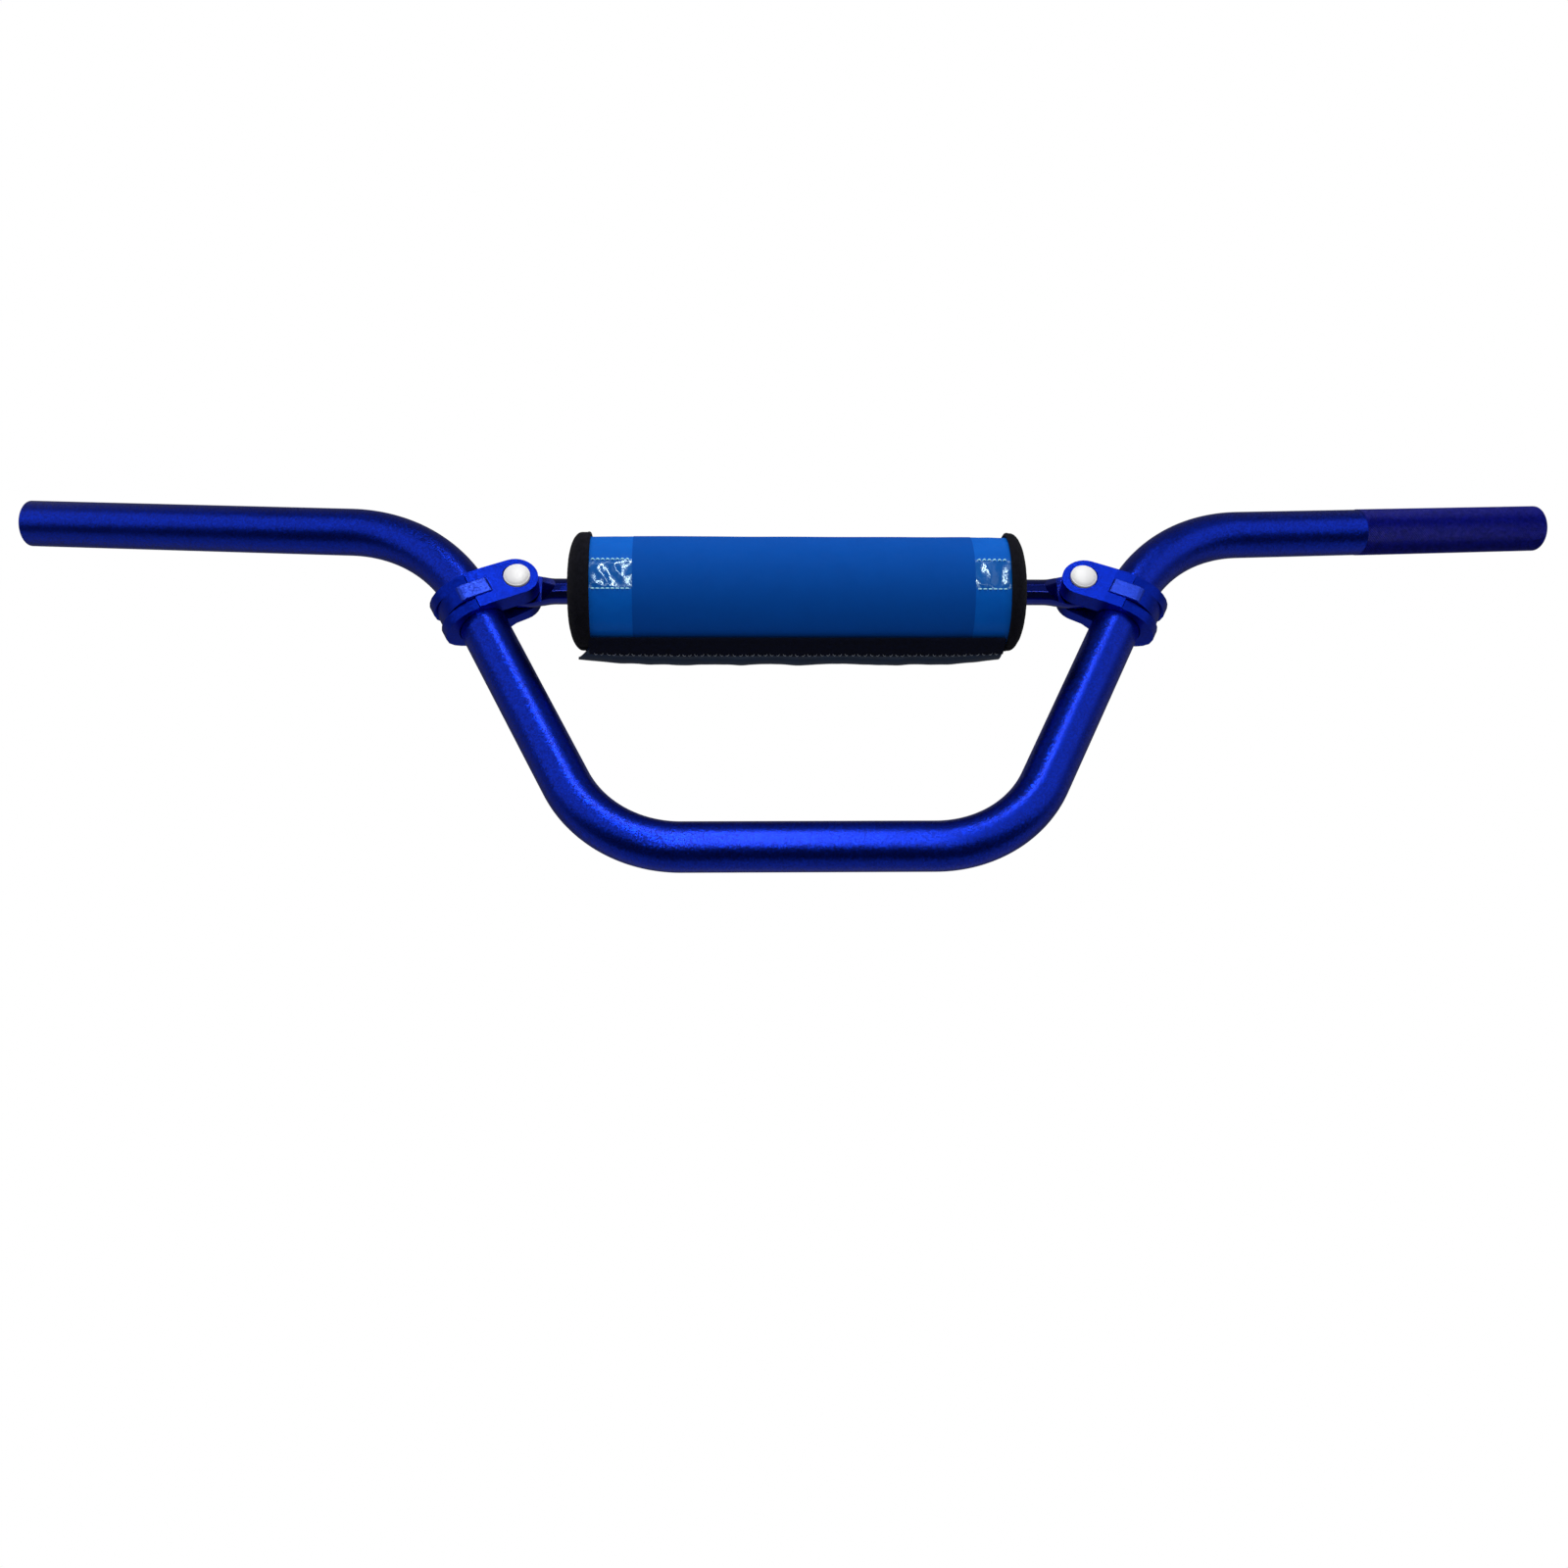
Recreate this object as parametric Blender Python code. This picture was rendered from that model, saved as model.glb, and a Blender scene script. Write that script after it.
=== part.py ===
"""Motocross handlebar: a bent alloy tube with a clamped, padded crossbar.

Frame: metres, +Z up (the way the bar rises), +X to the rider's left, +Y to the rear (the way the grips sweep).
The origin is the middle of the base, on the tube's centre line, where the machine's own bar mount holds it.
"""
import math

import bmesh
import bpy
from mathutils import Vector

MM = 0.001

# The tube
TUBE_RADIUS = 11.1 * MM
TUBE_WALL = 2.6 * MM
BASE_LENGTH = 110.0 * MM
LOWER_BEND_RADIUS = 56.0 * MM
LEG_ANGLE = math.radians(63.8)
LEG_LENGTH = 108.0 * MM
UPPER_BEND_RADIUS = 80.0 * MM
GRIP_RISE = math.radians(9.0)
GRIP_SWEEP = math.radians(10.0)
GRIP_LENGTH = 168.5 * MM
END_CHAMFER = 0.9 * MM
KNURL_LENGTH = 88.0 * MM
KNURL_HEIGHT = 0.25 * MM
TUBE_FACETS = 32
BEND_STEPS = 9

# The crossbar
CROSSBAR_RADIUS = 6.0 * MM
PRESSED_LENGTH = 17.1 * MM
FLARE_LENGTH = 12.0 * MM
PRESSED_SLOPE = 6.0 * MM
FLAT_THICKNESS = 4.0 * MM
FLAT_WIDTH = 16.5 * MM
CROSSBAR_FACETS = 24
FLARE_STEPS = 6
FLAT_END_STEPS = 12

# The clamps, each a little way down its leg from the upper bend
CLAMP_BELOW_BEND = 5.2 * MM
FIT_GAP = 0.3 * MM
BORE_CLEARANCE = 0.4 * MM
CLAMP_WIDTH = 20.0 * MM
FINGER_WIDTH = 8.3 * MM
BOLT_OFFSET = 22.3 * MM
EAR_BEYOND_BOLT = 9.7 * MM
FRONT_EAR_WALL = 8.8 * MM
FRONT_EAR_LEAN = math.radians(8.0)
REAR_EAR_WALL = 6.4 * MM
REAR_EAR_LEAN = math.radians(3.0)
RING_WALL = 2.7 * MM
SPLIT_STEP = 0.7 * MM
SPLIT_FROM_CROWN = 0.4 * MM
FINGER_WALL = 4.4 * MM
SIDE_FINGER_BULGE = 3.8 * MM
SIDE_FINGER_FALL = 6
MIDDLE_FINGER_BULGE = 0.6 * MM
FACET_START = 9.4 * MM
FACET_END = 4.3 * MM
RING_FACETS = 32
FINGER_STEPS = 14
EAR_END_STEPS = 16

# The fasteners
BOLT_RADIUS = 3.0 * MM
BOLT_CHAMFER = 0.5 * MM
HOLE_CLEARANCE = 0.3 * MM
HEAD_RADIUS = 6.1 * MM
HEAD_RIM = 1.6 * MM
HEAD_HEIGHT = 3.2 * MM
HEAD_STEPS = 6
SEAT_MARGIN = 0.6 * MM
NECK_SIDE = 6.6 * MM
NECK_LENGTH = 3.2 * MM
WASHER_RADIUS = 5.9 * MM
WASHER_THICKNESS = 1.2 * MM
NUT_ACROSS_FLATS = 10.0 * MM
NUT_HEIGHT = 4.0 * MM
NUT_CHAMFER = math.radians(30.0)
BOLT_PROUD = 0.8 * MM
FASTENER_FACETS = 24

# The pad
PAD_END_GAP = 7.8 * MM
PAD_OFFSET = -2.0 * MM
FOAM_RADIUS = 22.6 * MM
COVER_THICKNESS = 2.1 * MM
COVER_TUCK = 3.0 * MM
CAP_SLEEVE = 9.5 * MM
CAP_THICKNESS = 1.8 * MM
CAP_DOME = 6.5 * MM
CAP_CROWN_RADIUS = 11.0 * MM
CAP_STEPS = 5
SLIT_ANGLE = math.radians(-108.0)
SLIT_WIDTH = 2.0 * MM
PAD_FACETS = 36
FLAP_THICKNESS = 1.2 * MM
FLAP_START_ANGLE = math.radians(-90.0)
FLAP_END_ANGLE = math.radians(-136.0)
FLAP_LIFT = 8.8 * MM
FLAP_LIFT_POWER = 1.35
FLAP_STEPS = 10
BINDING_THICKNESS = 0.8 * MM
BINDING_END_ANGLE = math.radians(-110.0)
STRIP_THICKNESS = 0.8 * MM
STRIP_START_ANGLE = math.radians(-117.0)
STRIP_END_ANGLE = math.radians(-133.0)

FULL_TURN = 2 * math.pi
SHARP_ANGLE = math.radians(30.0)
SIDES = {"left": 1, "right": -1}

# What follows from the sizes above
BORE_RADIUS = TUBE_RADIUS + BORE_CLEARANCE
EAR_GAP = FLAT_THICKNESS / 2 + FIT_GAP
EAR_TIP = BOLT_OFFSET + EAR_BEYOND_BOLT
FRONT_INSIDE = EAR_GAP + EAR_BEYOND_BOLT * math.tan(FRONT_EAR_LEAN)
FRONT_OUTSIDE = FRONT_INSIDE + FRONT_EAR_WALL
SEAT_RADIUS = HEAD_RADIUS + SEAT_MARGIN
FRONT_SEAT = FRONT_OUTSIDE - SEAT_RADIUS * math.tan(FRONT_EAR_LEAN)
REAR_FACE = EAR_GAP + REAR_EAR_WALL
HOLE_RADIUS = BOLT_RADIUS + HOLE_CLEARANCE
RING_RADIUS = BORE_RADIUS + RING_WALL
LEG_DIRECTION = Vector((math.cos(LEG_ANGLE), 0, math.sin(LEG_ANGLE)))
LEG_NORMAL = Vector((-math.sin(LEG_ANGLE), 0, math.cos(LEG_ANGLE)))
LEG_START = Vector((BASE_LENGTH / 2 + LOWER_BEND_RADIUS * math.sin(LEG_ANGLE), 0,
                    LOWER_BEND_RADIUS * (1 - math.cos(LEG_ANGLE))))
RING_CENTRE = LEG_START + LEG_DIRECTION * (LEG_LENGTH - CLAMP_BELOW_BEND)
BOLT_X, _, CROSSBAR_HEIGHT = RING_CENTRE + LEG_NORMAL * BOLT_OFFSET
CROSSBAR_ROUND_HALF = BOLT_X - PRESSED_LENGTH
COVER_RADIUS = FOAM_RADIUS + FIT_GAP + COVER_THICKNESS
CAP_RADIUS = COVER_RADIUS + FIT_GAP + CAP_THICKNESS
PAD_HALF = CROSSBAR_ROUND_HALF - PAD_END_GAP
COVER_HALF = PAD_HALF - CAP_SLEEVE + COVER_TUCK
FLAP_HALF = PAD_HALF - CAP_SLEEVE - FIT_GAP


def clear_scene():
    for old in list(bpy.data.objects):
        bpy.data.objects.remove(old, do_unlink=True)


def material(name, colour, roughness, metallic):
    made = bpy.data.materials.new(name)
    made.use_nodes = True
    shader = made.node_tree.nodes["Principled BSDF"]
    shader.inputs["Base Color"].default_value = (*colour, 1)
    shader.inputs["Roughness"].default_value = roughness
    shader.inputs["Metallic"].default_value = metallic
    return made


def add_object(name, mesh_maker, finish=None, parent=None):
    """Links one object whose bmesh is made by mesh_maker(bm)."""
    bm = bmesh.new()
    mesh_maker(bm)
    bmesh.ops.recalc_face_normals(bm, faces=bm.faces)
    mesh = bpy.data.meshes.new(name)
    bm.to_mesh(mesh)
    bm.free()
    mesh.shade_smooth()
    mesh.set_sharp_from_angle(angle=SHARP_ANGLE)
    made = bpy.data.objects.new(name, mesh)
    bpy.context.collection.objects.link(made)
    if finish:
        mesh.materials.append(finish)
    if parent:
        made.parent = parent
    return made


def boolean(target, tool, operation):
    """Cuts target by tool, joins them, or keeps what they share. The tool itself is hidden."""
    tool.hide_render = True
    tool.display_type = "WIRE"
    modifier = target.modifiers.new(operation.lower(), "BOOLEAN")
    modifier.operation = operation
    modifier.object = tool
    modifier.solver = "EXACT"


def edge_shading():
    """A modifier's node group that leaves an edge smooth only where its faces meet at less than SHARP_ANGLE."""
    group = bpy.data.node_groups.new("edge_shading", "GeometryNodeTree")
    group.interface.new_socket("Geometry", in_out="INPUT", socket_type="NodeSocketGeometry")
    group.interface.new_socket("Geometry", in_out="OUTPUT", socket_type="NodeSocketGeometry")
    incoming = group.nodes.new("NodeGroupInput")
    outgoing = group.nodes.new("NodeGroupOutput")
    angle = group.nodes.new("GeometryNodeInputMeshEdgeAngle")
    compare = group.nodes.new("FunctionNodeCompare")
    compare.operation = "GREATER_THAN"
    compare.inputs["B"].default_value = SHARP_ANGLE
    shade = group.nodes.new("GeometryNodeSetShadeSmooth")
    shade.domain = "EDGE"
    shade.inputs["Shade Smooth"].default_value = False
    group.links.new(angle.outputs["Unsigned Angle"], compare.inputs["A"])
    group.links.new(incoming.outputs["Geometry"], shade.inputs["Geometry"])
    group.links.new(compare.outputs["Result"], shade.inputs["Selection"])
    group.links.new(shade.outputs["Geometry"], outgoing.inputs["Geometry"])
    return group


def shade_cut_edges():
    """Gives every piece that a Boolean has shaped the crisp edges that its cuts made."""
    group = edge_shading()
    for piece in bpy.data.objects:
        if piece.modifiers and not piece.hide_render:
            piece.modifiers.new("edge_shading", "NODES").node_group = group


def loop_faces(bm, loops, closed_ends=True):
    """Skins a list of vertex loops of equal length, and caps the first and the last."""
    count = len(loops[0])
    for low, high in zip(loops, loops[1:]):
        for i in range(count):
            j = (i + 1) % count
            bm.faces.new((low[i], low[j], high[j], high[i]))
    if closed_ends:
        bm.faces.new(loops[0][::-1])
        bm.faces.new(loops[-1])


def prism(profile, axis_low, axis_high, place):
    """A mesh maker: the closed profile (a, b) extruded from axis_low to axis_high, placed by place(a, b, c)."""
    def make(bm):
        low = [bm.verts.new(place(a, b, axis_low)) for a, b in profile]
        high = [bm.verts.new(place(a, b, axis_high)) for a, b in profile]
        loop_faces(bm, [low, high])
    return make


def along_y(a, b, c):
    """Places a profile in the XZ plane, with its length along Y."""
    return Vector((a, c, b))


def round_bar(radius, low, high, facets=FASTENER_FACETS):
    """A mesh maker: a round bar along Y."""
    return prism(arc(0, 0, radius, radius, 0, FULL_TURN, facets)[:-1], low, high, along_y)


def square_bar(half_side, low, high):
    """A mesh maker: a square bar along Y."""
    corners = [(-half_side, -half_side), (half_side, -half_side), (half_side, half_side), (-half_side, half_side)]
    return prism(corners, low, high, along_y)


def turned(profile, facets, start=0.0, sweep=FULL_TURN, axis="Y"):
    """A mesh maker: a closed profile of (radius, height) turned round the local Y or X axis.

    A full turn gives a closed ring. A smaller sweep gives a C shape with flat ends.
    """
    full = sweep == FULL_TURN

    def place(radius, height, angle):
        a, b = radius * math.cos(angle), radius * math.sin(angle)
        return Vector((a, height, b)) if axis == "Y" else Vector((height, -a, b))

    def make(bm):
        angles = [start + sweep * i / facets for i in range(facets if full else facets + 1)]
        on_axis = [radius == 0 for radius, _ in profile]
        poles = {k: bm.verts.new(place(0, profile[k][1], 0)) for k in range(len(profile)) if on_axis[k]}
        rings = [[poles[k] if on_axis[k] else bm.verts.new(place(r, h, angle))
                  for k, (r, h) in enumerate(profile)] for angle in angles]
        pairs = list(zip(rings, rings[1:])) + ([(rings[-1], rings[0])] if full else [])
        for one, two in pairs:
            for k in range(len(profile)):
                m = (k + 1) % len(profile)
                corners = []
                for corner in (one[k], one[m], two[m], two[k]):
                    if corner not in corners:
                        corners.append(corner)
                if len(corners) > 2:
                    bm.faces.new(corners)
        if not full:
            bm.faces.new(rings[0])
            bm.faces.new(rings[-1][::-1])
    return make


def arc(centre_a, centre_b, radius_a, radius_b, start, end, steps):
    """Points (a, b) on an ellipse's arc, from start to end, both included."""
    angles = [start + (end - start) * i / steps for i in range(steps + 1)]
    return [(centre_a + radius_a * math.cos(t), centre_b + radius_b * math.sin(t)) for t in angles]


def bend(point, before, after, radius, steps):
    """Stations (point, direction) on a bend that turns from one direction to the other, without its first one."""
    angle = before.angle(after)
    side = (after - before * after.dot(before)).normalized()
    centre = point + side * radius
    stations = []
    for i in range(1, steps + 1):
        t = angle * i / steps
        stations.append((centre - side * radius * math.cos(t) + before * radius * math.sin(t),
                         before * math.cos(t) + side * math.sin(t)))
    return stations


def half_centre_line():
    """The +X half of the tube's centre line, from the middle of the base out to the grip's end."""
    along = Vector((1, 0, 0))
    grip = Vector((math.cos(GRIP_RISE) * math.cos(GRIP_SWEEP), math.cos(GRIP_RISE) * math.sin(GRIP_SWEEP),
                   math.sin(GRIP_RISE)))
    stations = [(Vector((BASE_LENGTH / 2, 0, 0)), along)]
    stations += bend(stations[-1][0], along, LEG_DIRECTION, LOWER_BEND_RADIUS, BEND_STEPS)
    leg_end = stations[-1][0] + LEG_DIRECTION * LEG_LENGTH
    stations.append((leg_end, LEG_DIRECTION))
    stations += bend(leg_end, LEG_DIRECTION, grip, UPPER_BEND_RADIUS, BEND_STEPS)
    stations.append((stations[-1][0] + grip * GRIP_LENGTH, grip))
    return stations


def tube_stations():
    """(point, direction, outer radius) along the whole tube, from the -X end to the knurled +X end."""
    right = half_centre_line()
    left = [(Vector((-p.x, p.y, p.z)), Vector((d.x, -d.y, -d.z))) for p, d in reversed(right)]
    middle = [(p, d, TUBE_RADIUS) for p, d in left[1:] + right[:-1]]
    left_tip, left_way = left[0]
    right_tip, right_way = right[-1]
    rough = TUBE_RADIUS + KNURL_HEIGHT
    start = [(left_tip, left_way, TUBE_RADIUS - END_CHAMFER),
             (left_tip + left_way * END_CHAMFER, left_way, TUBE_RADIUS)]
    end = [(right_tip - right_way * KNURL_LENGTH, right_way, TUBE_RADIUS),
           (right_tip - right_way * (KNURL_LENGTH - KNURL_HEIGHT), right_way, rough),
           (right_tip - right_way * END_CHAMFER, right_way, rough),
           (right_tip, right_way, rough - END_CHAMFER)]
    return start + middle + end


def make_tube(bm):
    """Outer and inner skins round the centre line, joined by a flat ring at each open end."""
    inner_radius = TUBE_RADIUS - TUBE_WALL
    side = Vector((0, 1, 0))
    outer, inner = [], []
    for point, way, radius in tube_stations():
        side = (side - way * side.dot(way)).normalized()
        up = way.cross(side)
        angles = [FULL_TURN * i / TUBE_FACETS for i in range(TUBE_FACETS)]
        spokes = [side * math.cos(t) + up * math.sin(t) for t in angles]
        outer.append([bm.verts.new(point + spoke * radius) for spoke in spokes])
        inner.append([bm.verts.new(point + spoke * inner_radius) for spoke in spokes])
    loop_faces(bm, outer, closed_ends=False)
    loop_faces(bm, inner, closed_ends=False)
    for low, high in ((outer[0], inner[0]), (outer[-1], inner[-1])):
        loop_faces(bm, [low, high], closed_ends=False)


def make_crossbar_blank(bm):
    """A round rod whose ends spread upwards and downwards, as they do when they are pressed flat."""
    half = [CROSSBAR_ROUND_HALF + FLARE_LENGTH * i / FLARE_STEPS for i in range(FLARE_STEPS + 1)]
    half.append(BOLT_X + FLAT_WIDTH)
    loops = []
    for x in [-x for x in reversed(half)] + half:
        reach = min((abs(x) - CROSSBAR_ROUND_HALF) / FLARE_LENGTH, 1)
        wide = CROSSBAR_RADIUS + (FLAT_WIDTH / 2 - CROSSBAR_RADIUS) * reach * reach * (3 - 2 * reach)
        ring = arc(0, 0, CROSSBAR_RADIUS, wide, 0, FULL_TURN, CROSSBAR_FACETS)[:-1]
        loops.append([bm.verts.new((x, y, CROSSBAR_HEIGHT + z)) for y, z in ring])
    loop_faces(bm, loops)


def put_at_bolt(side_name, *pieces):
    """Moves pieces that are built round the bolt's axis to the middle of its hole in the crossbar."""
    for piece in pieces:
        piece.location = (SIDES[side_name] * BOLT_X, 0, CROSSBAR_HEIGHT)


def make_crossbar(finish):
    """The rod's ends pressed between flat dies with sloping edges, cut round and drilled for the bolts."""
    crossbar = add_object("crossbar", make_crossbar_blank, finish)
    far = BOLT_X + 2 * FLAT_WIDTH
    die = [(CROSSBAR_ROUND_HALF, CROSSBAR_RADIUS), (CROSSBAR_ROUND_HALF + PRESSED_SLOPE, FLAT_THICKNESS / 2),
           (far, FLAT_THICKNESS / 2), (far, 2 * FLAT_WIDTH), (CROSSBAR_ROUND_HALF, 2 * FLAT_WIDTH)]
    for side_name, side in SIDES.items():
        for face_name, face in (("front", -1), ("rear", 1)):
            press = add_object("press_%s_%s" % (face_name, side_name),
                               prism(die, -2 * FLAT_WIDTH, 2 * FLAT_WIDTH,
                                     lambda a, b, c, s=side, f=face: Vector((s * a, f * b, c))))
            press.location = (0, 0, CROSSBAR_HEIGHT)
            boolean(crossbar, press, "DIFFERENCE")
        drill = add_object("drill_" + side_name, round_bar(HOLE_RADIUS, -FLAT_THICKNESS, FLAT_THICKNESS))
        put_at_bolt(side_name, drill)
        boolean(crossbar, drill, "DIFFERENCE")
    round_off = FLAT_WIDTH / 2
    outline = (arc(-BOLT_X, 0, round_off, round_off, math.pi / 2, 3 * math.pi / 2, FLAT_END_STEPS)
               + arc(BOLT_X, 0, round_off, round_off, -math.pi / 2, math.pi / 2, FLAT_END_STEPS))
    trim = add_object("crossbar_outline", prism(outline, -FLAT_WIDTH, FLAT_WIDTH, along_y))
    trim.location = (0, 0, CROSSBAR_HEIGHT)
    boolean(crossbar, trim, "INTERSECT")


def clamp_place(side):
    """Maps (inward, rearward, along the leg) to the local axes of a clamp's empty."""
    return lambda inward, rearward, along: Vector((-side * inward, rearward, along))


def ear_outline():
    """The clamp seen along Y: straight edges, with a full round end beyond the bolt."""
    half = CLAMP_WIDTH / 2
    round_centre = BOLT_OFFSET + EAR_BEYOND_BOLT - half
    far = -2 * BOLT_OFFSET
    return [(far, -half)] + arc(round_centre, 0, half, half, -math.pi / 2, math.pi / 2, EAR_END_STEPS) + [
        (far, half)]


def front_outside(inward):
    """How far the front ear's outer face lies in front of the bar's middle plane. The ear leans in to its tip."""
    return FRONT_OUTSIDE + (BOLT_OFFSET - inward) * math.tan(FRONT_EAR_LEAN)


def front_plate():
    """Section of the front ear, from the split over the crown out past the ear's tip."""
    past = EAR_TIP + BOLT_OFFSET
    split = SPLIT_FROM_CROWN
    inside_at_bore = EAR_GAP + (EAR_TIP - BORE_RADIUS) * math.tan(FRONT_EAR_LEAN)
    return [(past, -EAR_GAP), (EAR_TIP, -EAR_GAP), (BORE_RADIUS, -inside_at_bore), (split, -inside_at_bore),
            (split, -RING_RADIUS - SPLIT_STEP), (FACET_START, -front_outside(FACET_START)),
            (past, -front_outside(past))]


def rear_plate():
    """Section of the rear ear: flat outside, where the washer sits, and leaning in to its tip inside."""
    past = EAR_TIP + BOLT_OFFSET
    split = SPLIT_FROM_CROWN
    inside_at_bore = EAR_GAP + (EAR_TIP - BORE_RADIUS) * math.tan(REAR_EAR_LEAN)
    return [(past, EAR_GAP), (EAR_TIP, EAR_GAP), (BORE_RADIUS, inside_at_bore), (split, inside_at_bore),
            (split, RING_RADIUS), (FACET_START, REAR_FACE + (RING_RADIUS - REAR_FACE) / 2),
            (BOLT_OFFSET - WASHER_RADIUS - SEAT_MARGIN, REAR_FACE), (past, REAR_FACE)]


def middle_finger():
    """Section of the front half's finger: a flat facet up to the crown, then round the outer side to the back."""
    tall = BORE_RADIUS + FINGER_WALL
    wide = tall + MIDDLE_FINGER_BULGE
    facet_angle = math.asin(FACET_END / wide)
    end = SPLIT_FROM_CROWN - FIT_GAP
    round_part = arc(0, 0, wide, tall, -math.pi / 2 - facet_angle, -3 * math.pi / 2, FINGER_STEPS)
    return [(end, 0), (FACET_START, 0), (FACET_START, -front_outside(FACET_START))] + round_part + [(end, tall)]


def side_finger():
    """Section of a rear finger: from the rear plate round the outer side, thickest there, to the front crown."""
    wide = RING_RADIUS + SIDE_FINGER_BULGE
    end = SPLIT_FROM_CROWN - FIT_GAP
    rear_part = []
    for i in range(FINGER_STEPS // 2):
        angle = math.pi / 2 * (1 + 2 * i / FINGER_STEPS)
        radius = RING_RADIUS + SIDE_FINGER_BULGE * abs(math.cos(angle)) ** SIDE_FINGER_FALL
        rear_part.append((radius * math.cos(angle), radius * math.sin(angle)))
    front_part = arc(0, 0, wide, RING_RADIUS, math.pi, 3 * math.pi / 2, FINGER_STEPS // 2)
    return [(FACET_START / 2, 0), (FACET_START / 2, RING_RADIUS - RING_WALL / 2)] + rear_part + front_part + [
        (end, -RING_RADIUS), (end, 0)]


def make_clamp(side_name, finish):
    """Both halves of one clamp, built in the axes of an empty on the leg, +Z along the leg."""
    side = SIDES[side_name]
    seat = bpy.data.objects.new("clamp_seat_" + side_name, None)
    bpy.context.collection.objects.link(seat)
    seat.location = (side * RING_CENTRE.x, 0, RING_CENTRE.z)
    seat.rotation_euler = (0, side * (math.pi / 2 - LEG_ANGLE), 0)
    place = clamp_place(side)
    half = CLAMP_WIDTH / 2
    finger = FINGER_WIDTH / 2
    slot = finger + FIT_GAP

    front = add_object("clamp_front_" + side_name, prism(front_plate(), -half, half, place), finish, seat)
    tongue = add_object("front_finger_" + side_name, prism(middle_finger(), -finger, finger, place), None, seat)
    boolean(front, tongue, "UNION")
    rear = add_object("clamp_rear_" + side_name, prism(rear_plate(), -half, half, place), finish, seat)
    for name, low, high in (("lower", -half, -slot), ("upper", slot, half)):
        tine = add_object(name + "_finger_" + side_name, prism(side_finger(), low, high, place), None, seat)
        boolean(rear, tine, "UNION")

    reach = 3 * BOLT_OFFSET
    outline = add_object("outline_" + side_name,
                         prism(ear_outline(), -reach, reach, lambda a, b, c: place(a, c, b)), None, seat)
    bore = add_object("bore_" + side_name,
                      prism(arc(0, 0, BORE_RADIUS, BORE_RADIUS, 0, FULL_TURN, RING_FACETS)[:-1], -reach, reach,
                            place), None, seat)
    hole = add_object("bolt_hole_" + side_name, round_bar(HOLE_RADIUS, -reach, reach))
    put_at_bolt(side_name, hole)
    for half_clamp in (front, rear):
        boolean(half_clamp, outline, "INTERSECT")
        boolean(half_clamp, bore, "DIFFERENCE")
        boolean(half_clamp, hole, "DIFFERENCE")
    for cutter in make_bolt_seat(side_name):
        boolean(front, cutter, "DIFFERENCE")


def make_bolt_seat(side_name):
    """The spot face under the bolt's head, and the square pocket that stops the bolt from turning."""
    face = add_object("spot_face_" + side_name, round_bar(SEAT_RADIUS, -2 * FRONT_SEAT, -FRONT_SEAT))
    pocket = add_object("neck_seat_" + side_name,
                        square_bar(NECK_SIDE / 2 + HOLE_CLEARANCE, -2 * FRONT_SEAT,
                                   -FRONT_SEAT + NECK_LENGTH + FIT_GAP))
    put_at_bolt(side_name, face, pocket)
    return face, pocket


def make_bolt(side_name, finish):
    """A low domed round head, a square neck and a plain shank along Y."""
    washer_face = REAR_FACE + FIT_GAP + WASHER_THICKNESS
    tip = washer_face + FIT_GAP + NUT_HEIGHT + BOLT_PROUD
    seat = -FRONT_SEAT - FIT_GAP
    rise = HEAD_HEIGHT - HEAD_RIM
    dome_radius = (HEAD_RADIUS ** 2 + rise ** 2) / (2 * rise)
    dome_angle = math.asin(HEAD_RADIUS / dome_radius)
    dome_centre = seat - HEAD_HEIGHT + dome_radius
    head = [(dome_radius * math.sin(t), dome_centre - dome_radius * math.cos(t))
            for t in (dome_angle * i / HEAD_STEPS for i in range(HEAD_STEPS + 1))]
    profile = head + [(HEAD_RADIUS, seat), (BOLT_RADIUS, seat), (BOLT_RADIUS, tip - BOLT_CHAMFER),
                      (BOLT_RADIUS - BOLT_CHAMFER, tip), (0, tip)]
    bolt = add_object("clamp_bolt_" + side_name, turned(profile, FASTENER_FACETS), finish)
    neck = add_object("bolt_neck_" + side_name, square_bar(NECK_SIDE / 2, seat - HEAD_RIM / 2, seat + NECK_LENGTH))
    boolean(bolt, neck, "UNION")
    put_at_bolt(side_name, bolt, neck)


def make_washer(side_name, finish):
    """A flat washer between the rear ear and the nut."""
    low = REAR_FACE + FIT_GAP
    high = low + WASHER_THICKNESS
    profile = [(HOLE_RADIUS, low), (WASHER_RADIUS, low), (WASHER_RADIUS, high), (HOLE_RADIUS, high)]
    washer = add_object("clamp_washer_" + side_name, turned(profile, FASTENER_FACETS), finish)
    put_at_bolt(side_name, washer)


def make_nut(side_name, finish):
    """A hexagon nut whose corners are turned off on both faces."""
    low = REAR_FACE + WASHER_THICKNESS + 2 * FIT_GAP
    high = low + NUT_HEIGHT
    corner = NUT_ACROSS_FLATS / math.sqrt(3)
    hexagon = [(corner * math.cos(math.radians(60 * i)), corner * math.sin(math.radians(60 * i))) for i in range(6)]
    nut = add_object("clamp_nut_" + side_name, prism(hexagon, low, high, along_y), finish)
    face = NUT_ACROSS_FLATS / 2
    drop = (corner - face) * math.tan(NUT_CHAMFER)
    barrel = [(0, low), (face, low), (corner, low + drop), (corner, high - drop), (face, high), (0, high)]
    turned_blank = add_object("nut_blank_" + side_name, turned(barrel, FASTENER_FACETS))
    hole = add_object("nut_hole_" + side_name, round_bar(HOLE_RADIUS, 0, 2 * high))
    boolean(nut, turned_blank, "INTERSECT")
    boolean(nut, hole, "DIFFERENCE")
    put_at_bolt(side_name, nut, turned_blank, hole)


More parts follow.
